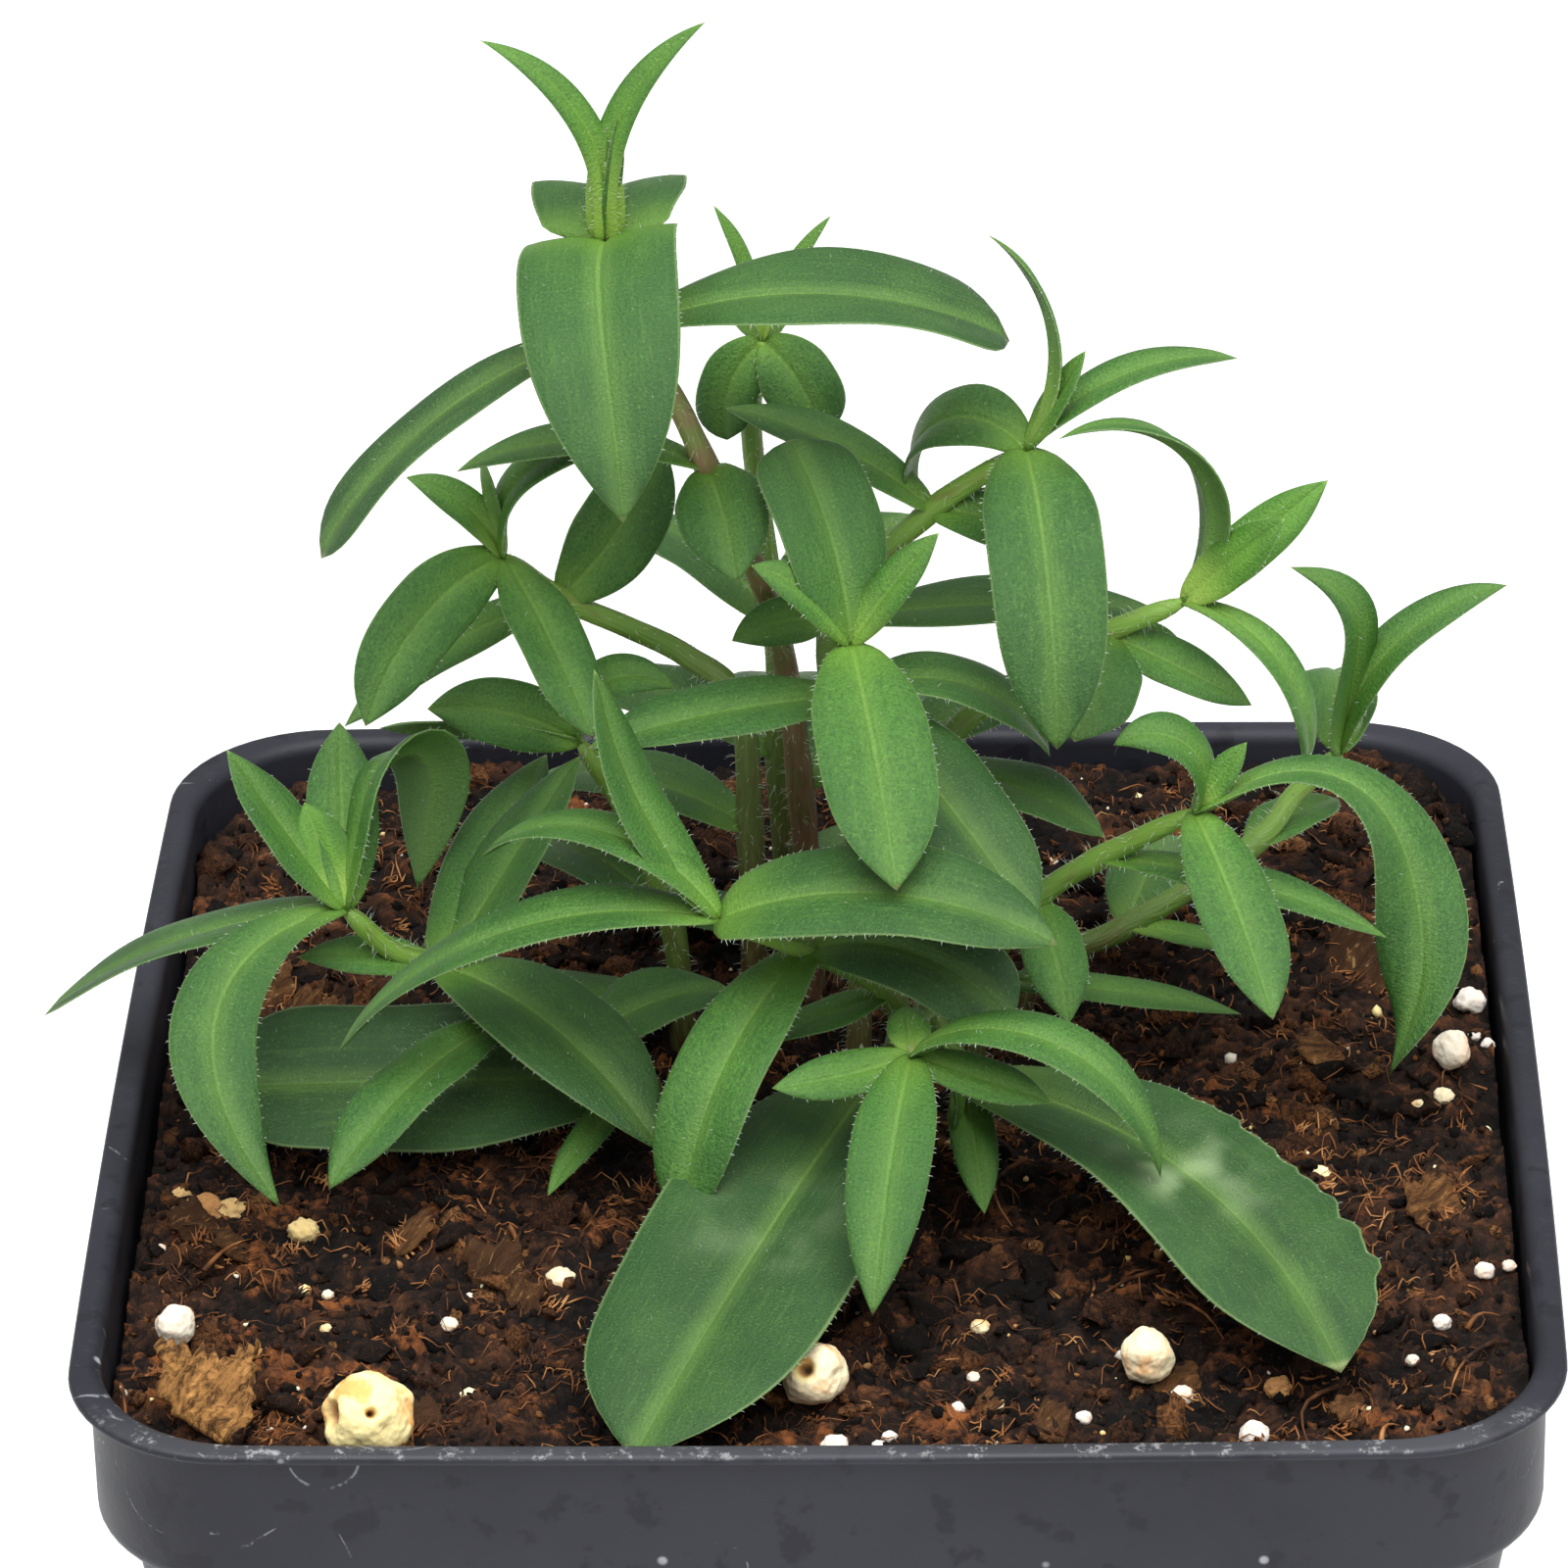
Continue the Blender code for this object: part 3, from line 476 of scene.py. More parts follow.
class Finish:
    """A material whose nodes are laid down one after another. Its tone is the colour so far."""

    def __init__(self, name):
        self.material = bpy.data.materials.new(name)
        self.material.use_nodes = True
        self.tree = self.material.node_tree
        self.shader = self.tree.nodes["Principled BSDF"]

    def add(self, kind, inputs, **settings):
        node = self.tree.nodes.new("ShaderNode" + kind)
        for setting, value in settings.items():
            setattr(node, setting, value)
        for key, value in inputs.items():
            self.put(node.inputs[key], value)
        return node

    def put(self, socket, value):
        if isinstance(value, bpy.types.NodeSocket):
            self.tree.links.new(value, socket)
        else:
            socket.default_value = value

    def attribute(self, name, output="Fac"):
        return self.add("Attribute", {}, attribute_name=name).outputs[output]

    def place(self):
        return self.add("TexCoord", {}).outputs["Object"]

    def split(self, vector):
        return self.add("SeparateXYZ", {0: vector}).outputs

    def stretch(self, vector, scale, turn=0.0):
        inputs = {"Vector": vector, "Rotation": (0, 0, turn), "Scale": scale}
        return self.add("Mapping", inputs).outputs[0]

    def noise(self, vector, scale, detail=2.0, rough=0.5, swirl=0.0):
        inputs = {"Vector": vector, "Scale": scale, "Detail": detail, "Roughness": rough}
        return self.add("TexNoise", {**inputs, "Distortion": swirl}).outputs[0]

    def cells(self, vector, scale):
        return self.add("TexVoronoi", {"Vector": vector, "Scale": scale}).outputs[0]

    def math(self, operation, first, second=0.0):
        return self.add("Math", {0: first, 1: second}, operation=operation).outputs[0]

    def times(self, first, second):
        return self.math("MULTIPLY", first, second)

    def off(self, value, centre=0.0):
        """How far a value is from another."""
        return self.math("ABSOLUTE", self.math("SUBTRACT", value, centre))

    def spread(self, value, low, high, start=0.0, end=1.0):
        inputs = {0: value, 1: low, 2: high, 3: start, 4: end}
        return self.add("MapRange", inputs, interpolation_type="SMOOTHSTEP").outputs[0]

    def mix(self, share, first, second):
        return self.add("Mix", {0: share, 6: first, 7: second}, data_type="RGBA").outputs[2]

    def paint(self, share, *colour):
        """Lay a colour over the tone."""
        self.tone = self.mix(share, self.tone, srgb(*colour))

    def ramp(self, value, *stops):
        """Take the tone from a scale of colours, each with its place on the scale before it."""
        node = self.add("ValToRGB", {0: value})
        elements = node.color_ramp.elements
        elements.remove(elements[1])
        elements[0].position = stops[0][0]
        elements[0].color = srgb(*stops[0][1:])
        for position, *colour in stops[1:]:
            elements.new(position).color = srgb(*colour)
        self.tone = node.outputs[0]

    def bump(self, height, distance):
        node = self.add("Bump", {"Height": height, "Distance": distance})
        self.put(self.shader.inputs["Normal"], node.outputs[0])

    def done(self, **values):
        """Give the shader its tone and its other values. A value's name has _ for each space."""
        for name, value in {"Base_Color": self.tone, **values}.items():
            self.put(self.shader.inputs[name.replace("_", " ")], value)
        return self.material


def leaf_finish():
    """Green by age and darker to the tip, with a pale midrib, a painted sheen down the middle, painted
    shade to the margins, a fine pale rim and a bloom on the oldest.
    """
    f = Finish("phlox_leaf")
    across, along, under = f.split(f.attribute("blade", "Vector"))
    spot = f.attribute("size", "Vector")
    distance = f.off(f.split(spot)[0])
    age = f.attribute("tint")
    # The tone darkens with age and towards the tip
    f.ramp(
        f.math("ADD", age, f.times(f.math("SUBTRACT", along, 0.4), 0.3)),
        (0.0, 100, 148, 30), (0.3, 78, 130, 36), (0.6, 62, 109, 39), (1.0, 43, 77, 34),
    )

    # Clouds, stipple and long streaks, fainter on young leaves. The stipple's pale specks are painted
    # highlights
    cloud = f.noise(spot, 0.22)
    stipple = f.noise(spot, 5.5, 3.0, 0.7)
    streaks = f.noise(f.stretch(spot, (3.6, 0.3, 1.0)), 1.0, 3.0)
    f.paint(f.spread(cloud, 0.42, 0.66, 0.0, 0.2), 88, 130, 54)
    f.paint(f.spread(cloud, 0.48, 0.3, 0.0, 0.3), 38, 78, 32)
    grown = f.spread(age, 0.15, 0.55, 0.4, 1.0)
    f.paint(f.times(grown, f.spread(stipple, 0.54, 0.38, 0.0, 0.54)), 30, 66, 26)
    f.paint(f.spread(streaks, 0.52, 0.72, 0.0, 0.1), 118, 158, 74)
    f.paint(f.spread(streaks, 0.48, 0.3, 0.0, 0.14), 36, 74, 32)
    # Painted highlights: pale specks in the stipple
    f.paint(f.times(grown, f.spread(stipple, 0.58, 0.72, 0.0, 0.42)), 130, 168, 100)

    # A pale bloom in the middle of the oldest leaves
    middle = f.times(f.spread(f.off(along, 0.5), 0.17, 0.02), f.spread(f.off(across), 0.85, 0.25))
    haze = f.times(middle, f.spread(f.noise(spot, 0.24, 1.5), 0.4, 0.7, 0.0, 0.6))
    f.paint(f.times(haze, f.spread(age, 1.0, 1.4)), 156, 180, 132)

    # The midrib, which narrows towards the tip, a painted sheen along the middle, and painted shade towards
    # the margin with its fine pale rim
    rib = f.spread(f.math("DIVIDE", distance, f.spread(along, 0.0, 1.0, 0.22, 0.07)), 1.0, 0.3)
    f.paint(f.times(rib, f.spread(along, 0.9, 0.1, 0.1, 0.32)), 128, 164, 72)
    # Painted sheen: a paler band along the middle of the blade
    f.paint(f.spread(distance, 1.3, 0.15, 0.0, 0.2), 130, 170, 80)
    # Painted shade: the blade darkens towards its margins
    f.paint(f.spread(f.off(across), 0.4, 0.95, 0.0, 0.26), 32, 76, 26)
    f.paint(f.spread(f.off(across), 0.955, 1.0, 0.0, 0.55), 150, 174, 116)

    # The base, the pale lower half of a bud's leaf, the dry tip and the underside
    f.paint(f.spread(along, 0.24, 0.02, 0.0, 0.34), 120, 160, 52)
    pale = f.times(f.spread(along, 0.5, 0.1), f.spread(age, 0.46, 0.32, 0.0, 0.75))
    f.paint(pale, 158, 190, 86)
    f.paint(f.spread(along, 0.975, 1.0, 0.0, 0.6), 196, 200, 140)
    f.paint(f.times(under, 0.4), 98, 132, 70)
    f.bump(f.math("ADD", stipple, f.times(streaks, 0.5)), 0.00013)
    return f.done(
        Roughness=f.spread(stipple, 0.3, 0.7, 0.38, 0.54), Specular_IOR_Level=0.36,
        Subsurface_Weight=0.15, Subsurface_Radius=(0.35, 1.0, 0.15), Subsurface_Scale=0.0004,
    )


def stem_finish():
    """Dark red at the foot and green above, with blotches and fine ribs."""
    f = Finish("phlox_stem")
    along = f.split(f.attribute("blade", "Vector"))[1]
    spot = f.attribute("size", "Vector")
    f.ramp(
        along, (0.0, 58, 34, 24), (0.16, 74, 50, 32), (0.32, 86, 102, 46), (0.65, 98, 136, 52),
        (1.0, 118, 158, 60),
    )
    blotches = f.noise(f.stretch(spot, (1.0, 0.35, 1.0)), 0.9, 3.0)
    f.paint(f.spread(blotches, 0.54, 0.7, 0.0, 0.4), 112, 74, 58)
    f.paint(f.times(f.attribute("tint"), f.spread(f.noise(spot, 0.5), 0.3, 0.6, 0.4, 1.0)), 134, 94, 76)
    ribs = f.noise(f.stretch(spot, (4.0, 0.5, 1.0)), 1.0)
    f.paint(f.spread(ribs, 0.4, 0.7, 0.0, 0.3), 132, 150, 86)
    f.bump(ribs, 0.0001)
    return f.done(
        Roughness=0.5, Specular_IOR_Level=0.4,
        Subsurface_Weight=0.12, Subsurface_Radius=(0.5, 0.9, 0.2), Subsurface_Scale=0.0005,
    )


def hair_finish():
    f = Finish("phlox_hair")
    f.tone = f.mix(f.noise(f.place(), 900.0), srgb(190, 200, 168), srgb(232, 236, 222))
    return f.done(Roughness=0.5, Subsurface_Weight=0.3, Subsurface_Scale=0.0002)


def pot_finish():
    """Dark plastic with blotches, pale specks, fine scratches and a rim that is worn in front."""
    f = Finish("pot_plastic")
    spot = f.place()
    back, height = f.split(spot)[1:]
    cloud = f.noise(spot, 60.0, 4.0)
    blotch = f.noise(spot, 330.0, 3.0, 0.6)
    f.tone = f.mix(f.spread(cloud, 0.3, 0.7), srgb(33, 34, 41), srgb(45, 46, 53))
    f.paint(f.spread(blotch, 0.56, 0.64, 0.0, 0.6), 24, 24, 31)
    dots = f.times(f.spread(f.cells(spot, 420.0), 0.16, 0.06), f.spread(f.noise(spot, 170.0), 0.6, 0.68))
    f.paint(f.times(dots, 0.7), 176, 177, 180)
    contour = f.spread(f.off(f.noise(spot, 105.0, 1.0), 0.5), 0.005, 0.001)
    broken = f.spread(f.noise(spot, 700.0, 3.0, 0.7), 0.5, 0.62)
    marks = f.times(contour, f.spread(f.noise(spot, 48.0), 0.52, 0.6))
    f.paint(f.times(f.times(marks, broken), 0.55), 150, 151, 155)
    patches = f.spread(f.noise(spot, 210.0, 3.0), 0.3, 0.6, 0.75, 1.1)
    worn = f.times(f.noise(spot, 1100.0, 5.0, 0.8), patches)
    rim = f.spread(height, (POT_HEIGHT - 0.3) * MM, (POT_HEIGHT - 0.05) * MM)
    rim = f.times(rim, f.spread(back, -0.037, -0.042, 0.03, 1.0))
    f.paint(f.times(rim, f.spread(worn, 0.55, 0.68, 0.08, 0.75)), 152, 152, 154)
    f.bump(f.math("ADD", f.times(f.noise(spot, 2600.0), 0.3), f.times(blotch, 0.7)), 0.00006)
    return f.done(Roughness=f.spread(cloud, 0.3, 0.7, 0.42, 0.55), Specular_IOR_Level=0.22)


def soil_finish():
    """Peat with painted shade that makes its hollows almost black, and a warm brown on its crumbs."""
    f = Finish("peat_soil")
    spot = f.place()
    fibrous = f.noise(spot, 700.0, 5.0, 0.75, 2.2)
    fine = f.noise(spot, 2400.0, 3.0, 0.7)
    # Painted shade: the tint from the relief darkens the low places towards near black
    share = f.math("ADD", f.times(f.attribute("tint"), 0.55), f.times(fibrous, 0.8))
    f.ramp(share, (0.46, 9, 6, 5), (0.6, 30, 19, 13), (0.78, 64, 39, 24), (0.98, 120, 76, 45))
    warm = f.spread(f.noise(spot, 170.0, 3.0, 0.6), 0.5, 0.62)
    f.paint(f.times(warm, f.spread(share, 0.6, 0.84, 0.0, 0.85)), 144, 84, 42)
    f.paint(f.spread(fine, 0.66, 0.76, 0.0, 0.3), 150, 118, 86)
    f.bump(f.math("ADD", f.times(fine, 0.4), fibrous), 0.0005)
    return f.done(Roughness=0.85, Specular_IOR_Level=0.22)


def litter_finish(name, thin, swirl, *stops):
    """Bark or peat: each bit has its own place on the colour scale, with torn fibres over it."""
    f = Finish(name)
    turned = f.stretch(f.place(), (1, 1, 1), FIBRE_TURN)
    fibrous = f.noise(f.stretch(turned, (1.0, thin, thin)), 1500.0, 5.0, 0.75, swirl)
    f.ramp(f.attribute("tint"), *stops)
    f.paint(f.spread(fibrous, 0.38, 0.6, 0.92, 0.0), *stops[0][1:])
    f.paint(f.spread(fibrous, 0.58, 0.72, 0.0, 0.5), *stops[-1][1:])
    f.bump(fibrous, 0.0005)
    return f.done(Roughness=0.85, Specular_IOR_Level=0.2)


def fibre_finish():
    f = Finish("peat_fibre")
    share = f.noise(f.place(), 380.0)
    f.ramp(share, (0.34, 42, 25, 16), (0.46, 92, 57, 33), (0.58, 144, 92, 51), (0.7, 184, 134, 84))
    return f.done(Roughness=0.8, Specular_IOR_Level=0.25)


def perlite_finish():
    """White grains and golden lumps, with pits darkened as painted shade, pores and rusty stains."""
    f = Finish("perlite")
    spot = f.place()
    golden = f.attribute("tint")
    # The ramp's dark end is painted shade for the pits
    f.ramp(golden, (0.0, 226, 217, 206), (0.5, 255, 234, 164), (0.75, 172, 124, 74), (1.0, 52, 34, 20))
    stain = f.noise(spot, 420.0, 3.0, 0.6)
    rust = f.times(f.spread(stain, 0.5, 0.64), f.spread(golden, 0.0, 0.5, 0.3, 0.9))
    f.paint(f.times(rust, f.spread(golden, 0.6, 0.5)), 244, 170, 90)
    pores = f.cells(spot, 2000.0)
    f.paint(f.spread(pores, 0.2, 0.05, 0.0, 0.25), 150, 118, 86)
    f.bump(f.math("ADD", pores, f.noise(spot, 1200.0, 4.0)), 0.00008)
    return f.done(
        Roughness=0.8, Specular_IOR_Level=0.4,
        Subsurface_Weight=0.35, Subsurface_Radius=(1.0, 0.8, 0.6), Subsurface_Scale=0.0004,
    )


def as_mesh(name, bm):
    mesh = bpy.data.meshes.new(name)
    bm.to_mesh(mesh)
    bm.free()
    return mesh


def placed(name, data):
    """An object of this data in the scene."""
    obj = bpy.data.objects.new(name, data)
    bpy.context.scene.collection.objects.link(obj)
    return obj


def piece(name, bm, finishes, slot, *nodes):
    """One finished piece on the fixed body, standing for any solids that it names."""
    obj = placed(name, as_mesh(name, bm))
    for finish in finishes:
        obj.data.materials.append(finish)
    obj.data.shade_smooth()
    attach(obj, "root")
    if nodes:
        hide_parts(*nodes)
    return obj


def join(target, part):
    """Add one bmesh to another."""
    mesh = as_mesh("part", part)
    target.from_mesh(mesh)
    bpy.data.meshes.remove(mesh)


def from_rim(place):
    """A place measured in millimetres from the centre of the rim, in metres from the centre of the base."""
    return (place + Vector((0, 0, POT_HEIGHT))) * MM


def seal(bm):
    """Weld the points that meet, and turn the faces outward."""
    bmesh.ops.remove_doubles(bm, verts=bm.verts, dist=WELD * MM)
    bmesh.ops.recalc_face_normals(bm, faces=bm.faces)


def closed_skin(columns, rows, put, material=0):
    """A closed skin of rings. put gives each row and column's place, with its blade, size and tint."""
    bm = bmesh.new()
    blade = bm.verts.layers.float_vector.new("blade")
    size = bm.verts.layers.float_vector.new("size")
    tint = bm.verts.layers.float.new("tint")
    bmesh.ops.create_grid(bm, x_segments=columns, y_segments=rows, size=1)
    for vert in bm.verts:
        row, column = divmod(vert.index, columns + 1)
        place, vert[blade], vert[size], vert[tint] = put(row, column % columns)
        vert.co = from_rim(place)
    seal(bm)
    for face in bm.faces:
        face.material_index = material
    return bm


def strands(name, runs, thickness, finish, slot):
    """Fine strands that taper towards their ends, each along a few points."""
    curve = bpy.data.curves.new(name, "CURVE")
    curve.dimensions = "3D"
    curve.bevel_depth = thickness * MM
    curve.bevel_resolution = 0
    curve.use_fill_caps = True
    for run in runs:
        spline = curve.splines.new("POLY")
        spline.points.add(len(run) - 1)
        for i, point in enumerate(spline.points):
            point.co = (*from_rim(run[i]), 1)
            point.radius = 1 - 0.85 * i / (len(run) - 1)
    guide = placed(name + "_guide", curve)
    graph = bpy.context.evaluated_depsgraph_get()
    mesh = bpy.data.meshes.new_from_object(guide.evaluated_get(graph))
    bpy.data.objects.remove(guide)
    bm = bmesh.new()
    bm.from_mesh(mesh)
    bpy.data.meshes.remove(mesh)
    seal(bm)
    piece(name, bm, [finish], slot)


def smooth_route(points, steps):
    """A curve through the given points."""
    ends = [2 * points[0] - points[1]] + points + [2 * points[-1] - points[-2]]
    route = []
    for a, b, c, d in zip(ends, ends[1:], ends[2:], ends[3:]):
        for i in range(steps):
            t = i / steps
            route.append(
                b + 0.5 * t * (c - a + t * (2 * a - 5 * b + 4 * c - d + t * (3 * (b - c) + d - a)))
            )
    return route + [points[-1]]


class Stem:
    """One stem's form: its route, its radius and a pair of directions across it at every step."""

    def __init__(self, shoot):
        self.route = smooth_route(shoot.stem, STEM_STEPS)
        self.last = len(self.route) - 1
        self.blush = shoot.blush
        self.leafy = {leaf.at * STEM_STEPS for leaf in shoot.leaves}
        self.sides = []
        side = Vector((1, 0, 0))
        for i in range(self.last + 1):
            along = self.along(i)
            side = (side - along * side.dot(along)).normalized()
            self.sides.append((side, along.cross(side)))

    def along(self, i):
        return (self.route[min(i + 1, self.last)] - self.route[max(i - 1, 0)]).normalized()

    def radius(self, i):
        slender = STEM_FOOT + (STEM_TOP - STEM_FOOT) * i / self.last
        nearest = min(abs(i - place) for place in self.leafy)
        end = sqrt(min((self.last - i + 0.5) / ROUND_TOP_STEPS, 1))
        return slender * end * (1 + NODE_SWELL * exp(-((nearest / SWELL_STEPS) ** 2)))

    def skin(self, i, angle, share=1.0):
        right, back = self.sides[i]
        return self.route[i] + (right * cos(angle) + back * sin(angle)) * self.radius(i) * share

    def mesh(self):
        length = [0]
        for a, b in zip(self.route, self.route[1:]):
            length.append(length[-1] + (b - a).length)

        def put(row, column):
            i = min(max(row - 1, 0), self.last)
            angle = 2 * pi * column / STEM_SIDES
            share = 0 if row in (0, self.last + 2) else 1
            around = self.radius(i) * angle
            return self.skin(i, angle, share), (0, i / self.last, 0), (around, length[i], 0), self.blush

        return closed_skin(STEM_SIDES, self.last + 2, put, 1)


def fold_share(s, fold):
    """How much of the droop is spent at a place along the leaf. A fold gathers it about one place."""
    if fold is None:
        return s
    t = min(max((s - fold + 0.25) / 0.5, 0), 1)
    return t * t * (3 - 2 * t)


class Blade:
    """One leaf's form. Across runs from margin to margin as -1 to 1, and s from base to tip as 0 to 1."""

    def __init__(self, start, leaf, seed):
        self.leaf = leaf
        self.seed = seed
        draw = Random(seed)
        self.phase = draw.random()
        self.waves = draw.uniform(*WAVES)
        self.wave = draw.uniform(*WAVE_HEIGHTS)
        self.frames = []
        step = leaf.long / FINE_STEPS
        place = Vector(start)
        for i in range(FINE_STEPS + 1):
            s = i / FINE_STEPS
            roll = radians(leaf.roll + leaf.twist * s)
            rise = radians(leaf.rise - leaf.droop * fold_share(s, leaf.fold))
            heading = radians(leaf.heading + leaf.sweep * s**leaf.late)
            along = Vector((cos(rise) * cos(heading), cos(rise) * sin(heading), sin(rise)))
            level = Vector((-sin(heading), cos(heading), 0))
            side = level * cos(roll) + along.cross(level) * sin(roll)
            self.frames.append((place.copy(), side, along.cross(side)))
            place += along * step

    def half(self, s):
        peak, base = self.leaf.peak, self.leaf.base
        if s < peak:
            share = base + (1 - base) * sin(pi / 2 * s / peak)
            share *= 0.6 + 0.4 * sqrt(min(s / 0.06, 1))
        else:
            share = cos(pi / 2 * ((s - peak) / (1 - peak)) ** self.leaf.blunt)
        return max(self.leaf.wide / 2 * share, 0)

    def nibble(self, s):
        """Share of the half blade that is eaten away at one margin."""
        if not self.leaf.nibbled or s < NIBBLED_FROM:
            return 0
        bite = noise.noise(Vector((s * COARSE_BITES, self.seed, 0)))
        bite += 0.5 * noise.noise(Vector((s * FINE_BITES, self.seed, 5)))
        return self.leaf.nibbled * (0.35 + max(bite, -0.35)) * min((s - NIBBLED_FROM) / 0.15, 1)

    def lift(self, across, s, half):
        """Height of the blade over its midrib: a shallow trough with full halves and a wavy margin."""
        out = abs(across)
        wave = self.wave * sin(2 * pi * (self.waves * s + self.phase) + (1.3 if across > 0 else 0))
        return half * (CUP * out + BULGE * 4 * out * (1 - out) + wave * out * out)

    def skin(self, across, s, side):
        place, right, face = self.frames[round(s * FINE_STEPS)]
        half = self.half(s)
        if across > 0:
            across *= 1 - self.nibble(s)
        off = abs(across) * half
        thick = BLADE / 2 * sqrt(max(1 - across**4, 0)) * min(1, half / 0.8)
        if side > 0:
            thick -= GROOVE_DEPTH * (1 - 0.6 * s) * exp(-((off / (1.3 * GROOVE_HALF)) ** 2)) * min(1, half)
        else:
            thick += RIB_DEPTH * (1 - 0.85 * s) * exp(-((off / RIB_HALF) ** 2)) * min(1, half)
        return place + right * across * half + face * (self.lift(across, s, half) + side * thick)

    def shares(self):
        """Places across a half blade, close together at the groove and at the margin."""
        half = self.leaf.wide / 2
        shoulder = min(GROOVE_SHOULDER / half, 0.24)
        edge = 1 - min(EDGE_BAND / half, 0.06)
        middle = [shoulder + (edge - shoulder) * i / ACROSS_STEPS for i in range(ACROSS_STEPS + 1)]
        return [0, min(GROOVE_HALF / half, 0.1)] + middle + [1]

    def mesh(self):
        rows = SHORT_LEAF_ROWS if self.leaf.long < SHORT_LEAF else LEAF_ROWS
        if self.leaf.nibbled:
            rows = FINE_STEPS
        shares = self.shares()
        ring = [(share, 1) for share in reversed(shares)] + [(-share, 1) for share in shares[1:]]
        ring += [(-share, -1) for share in reversed(shares[:-1])] + [(share, -1) for share in shares[1:-1]]
        tint = leaf_tint(self.leaf)

        def put(row, column):
            across, side = ring[column]
            s = max(row - 1, 0) / rows
            half = self.half(s)
            place = self.frames[0][0] if row == 0 else self.skin(across, s, side)
            under = 0.5 if abs(across) == 1 else (1 - side) / 2
            size = (across * half, s * self.leaf.long, self.seed * 7.3)
            return place, (across, s, under), size, tint

        return closed_skin(len(ring), rows + 1, put)


def leaf_tint(leaf):
    """0 for a bud leaf up to 1 for an old one, and more for a hazy one. Narrow leaves are young."""
    if leaf.tint is None:
        return min(BUD_TINT + TINT_PER_MM * max(leaf.wide - BUD_WIDTH, 0), 1)
    return leaf.tint


def hair_run(root, out, length, draw):
    """A short curved hair from its root."""
    lean = Vector([draw.uniform(-1, 1) for _ in range(3)])
    way = (out + lean * HAIR_LEAN).normalized()
    bend = (way + Vector((0, 0, -HAIR_SAG)) + lean * HAIR_CURL).normalized()
    middle = root + way * length * 0.5
    return [root - way * HAIR_ROOT, middle, middle + bend * length * 0.5]


def stem_hairs(stem, draw):
    runs = []
    for i in range(stem.last):
        if stem.route[i].z < HAIRS_ABOVE:
            continue
        gap = (stem.route[i + 1] - stem.route[i]).length
        for _ in range(round(gap * HAIRS_PER_MM_OF_STEM)):
            angle = draw.uniform(0, 2 * pi)
            root = stem.skin(i, angle).lerp(stem.skin(i + 1, angle), draw.random())
            out = (stem.skin(i, angle) - stem.route[i]).normalized()
            runs.append(hair_run(root, out, draw.uniform(*STEM_HAIR), draw))
    return runs


def blade_hairs(blade, draw):
    runs = []
    count = round(blade.leaf.long * HAIRS_PER_MM_OF_MARGIN)
    for number in range(count):
        s = round((0.04 + 0.86 * (number + draw.random()) / count) * FINE_STEPS) / FINE_STEPS
        if draw.random() < s * 0.6:
            continue
        _, right, face = blade.frames[round(s * FINE_STEPS)]
        for across in (-1, 1):
            out = right * across + face * draw.uniform(-0.5, 0.3)
            length = draw.uniform(*MARGIN_HAIR) * (1 - 0.5 * s)
            runs.append(hair_run(blade.skin(across, s, 1), out, length, draw))
        side = 1 if draw.random() < 0.4 else -1
        if draw.random() < FACE_HAIR_SHARE:
            spot = draw.uniform(-0.9, 0.9)
            runs.append(hair_run(blade.skin(spot, s, side), face * side, draw.uniform(*FACE_HAIR), draw))
    return runs


def make_shoot(number, name, shoot, finishes):
    draw = Random(HAIR_SEED + number)
    stem = Stem(shoot)
    bm = stem.mesh()
    runs = stem_hairs(stem, draw)
    for order, leaf in enumerate(shoot.leaves):
        blade = Blade(shoot.stem[leaf.at], leaf, number * SEEDS_PER_SHOOT + order)
        join(bm, blade.mesh())
        runs += blade_hairs(blade, draw)
    piece("fine_" + name, bm, [finishes["leaf"], finishes["stem"]], "leaf", name)
    strands(name + "_hairs", runs, HAIR_RADIUS, finishes["hair"], "leaf")


def rounded_square(half, corner):
    """Points round a square with rounded corners and sides that bow out a little."""
    points = []
    flat = half - corner
    for quarter in range(4):
        turn = quarter * pi / 2
        for i in range(CORNER_STEPS + 1):
            angle = pi / 2 * i / CORNER_STEPS
            points.append((flat + corner * cos(angle), flat + corner * sin(angle), turn))
        for i in range(1, SIDE_STEPS):
            along = 1 - 2 * i / SIDE_STEPS
            points.append((flat * along, half + SIDE_BOW * (1 - along**2), turn))
    return [(x * cos(t) - y * sin(t), x * sin(t) + y * cos(t)) for x, y, t in points]


def corner_for(half):
    return RIM_CORNER * half / RIM_HALF


def outer_half(z):
    """Half width of the tapered body at a height below the collar."""
    top = RIM_HALF - LIP_OVERHANG - COLLAR_STEP
    return BASE_HALF + (top - BASE_HALF) * (z + POT_HEIGHT) / (POT_HEIGHT - COLLAR_HEIGHT)


def arc(half, z, radius, start, end, steps):
    """Rows of a profile round an arc. Angles are degrees, 0 outwards and 90 up."""
    rows = []
    for i in range(steps + 1):
        angle = radians(start + (end - start) * i / steps)
        rows.append((half + radius * cos(angle), z + radius * sin(angle)))
    return rows


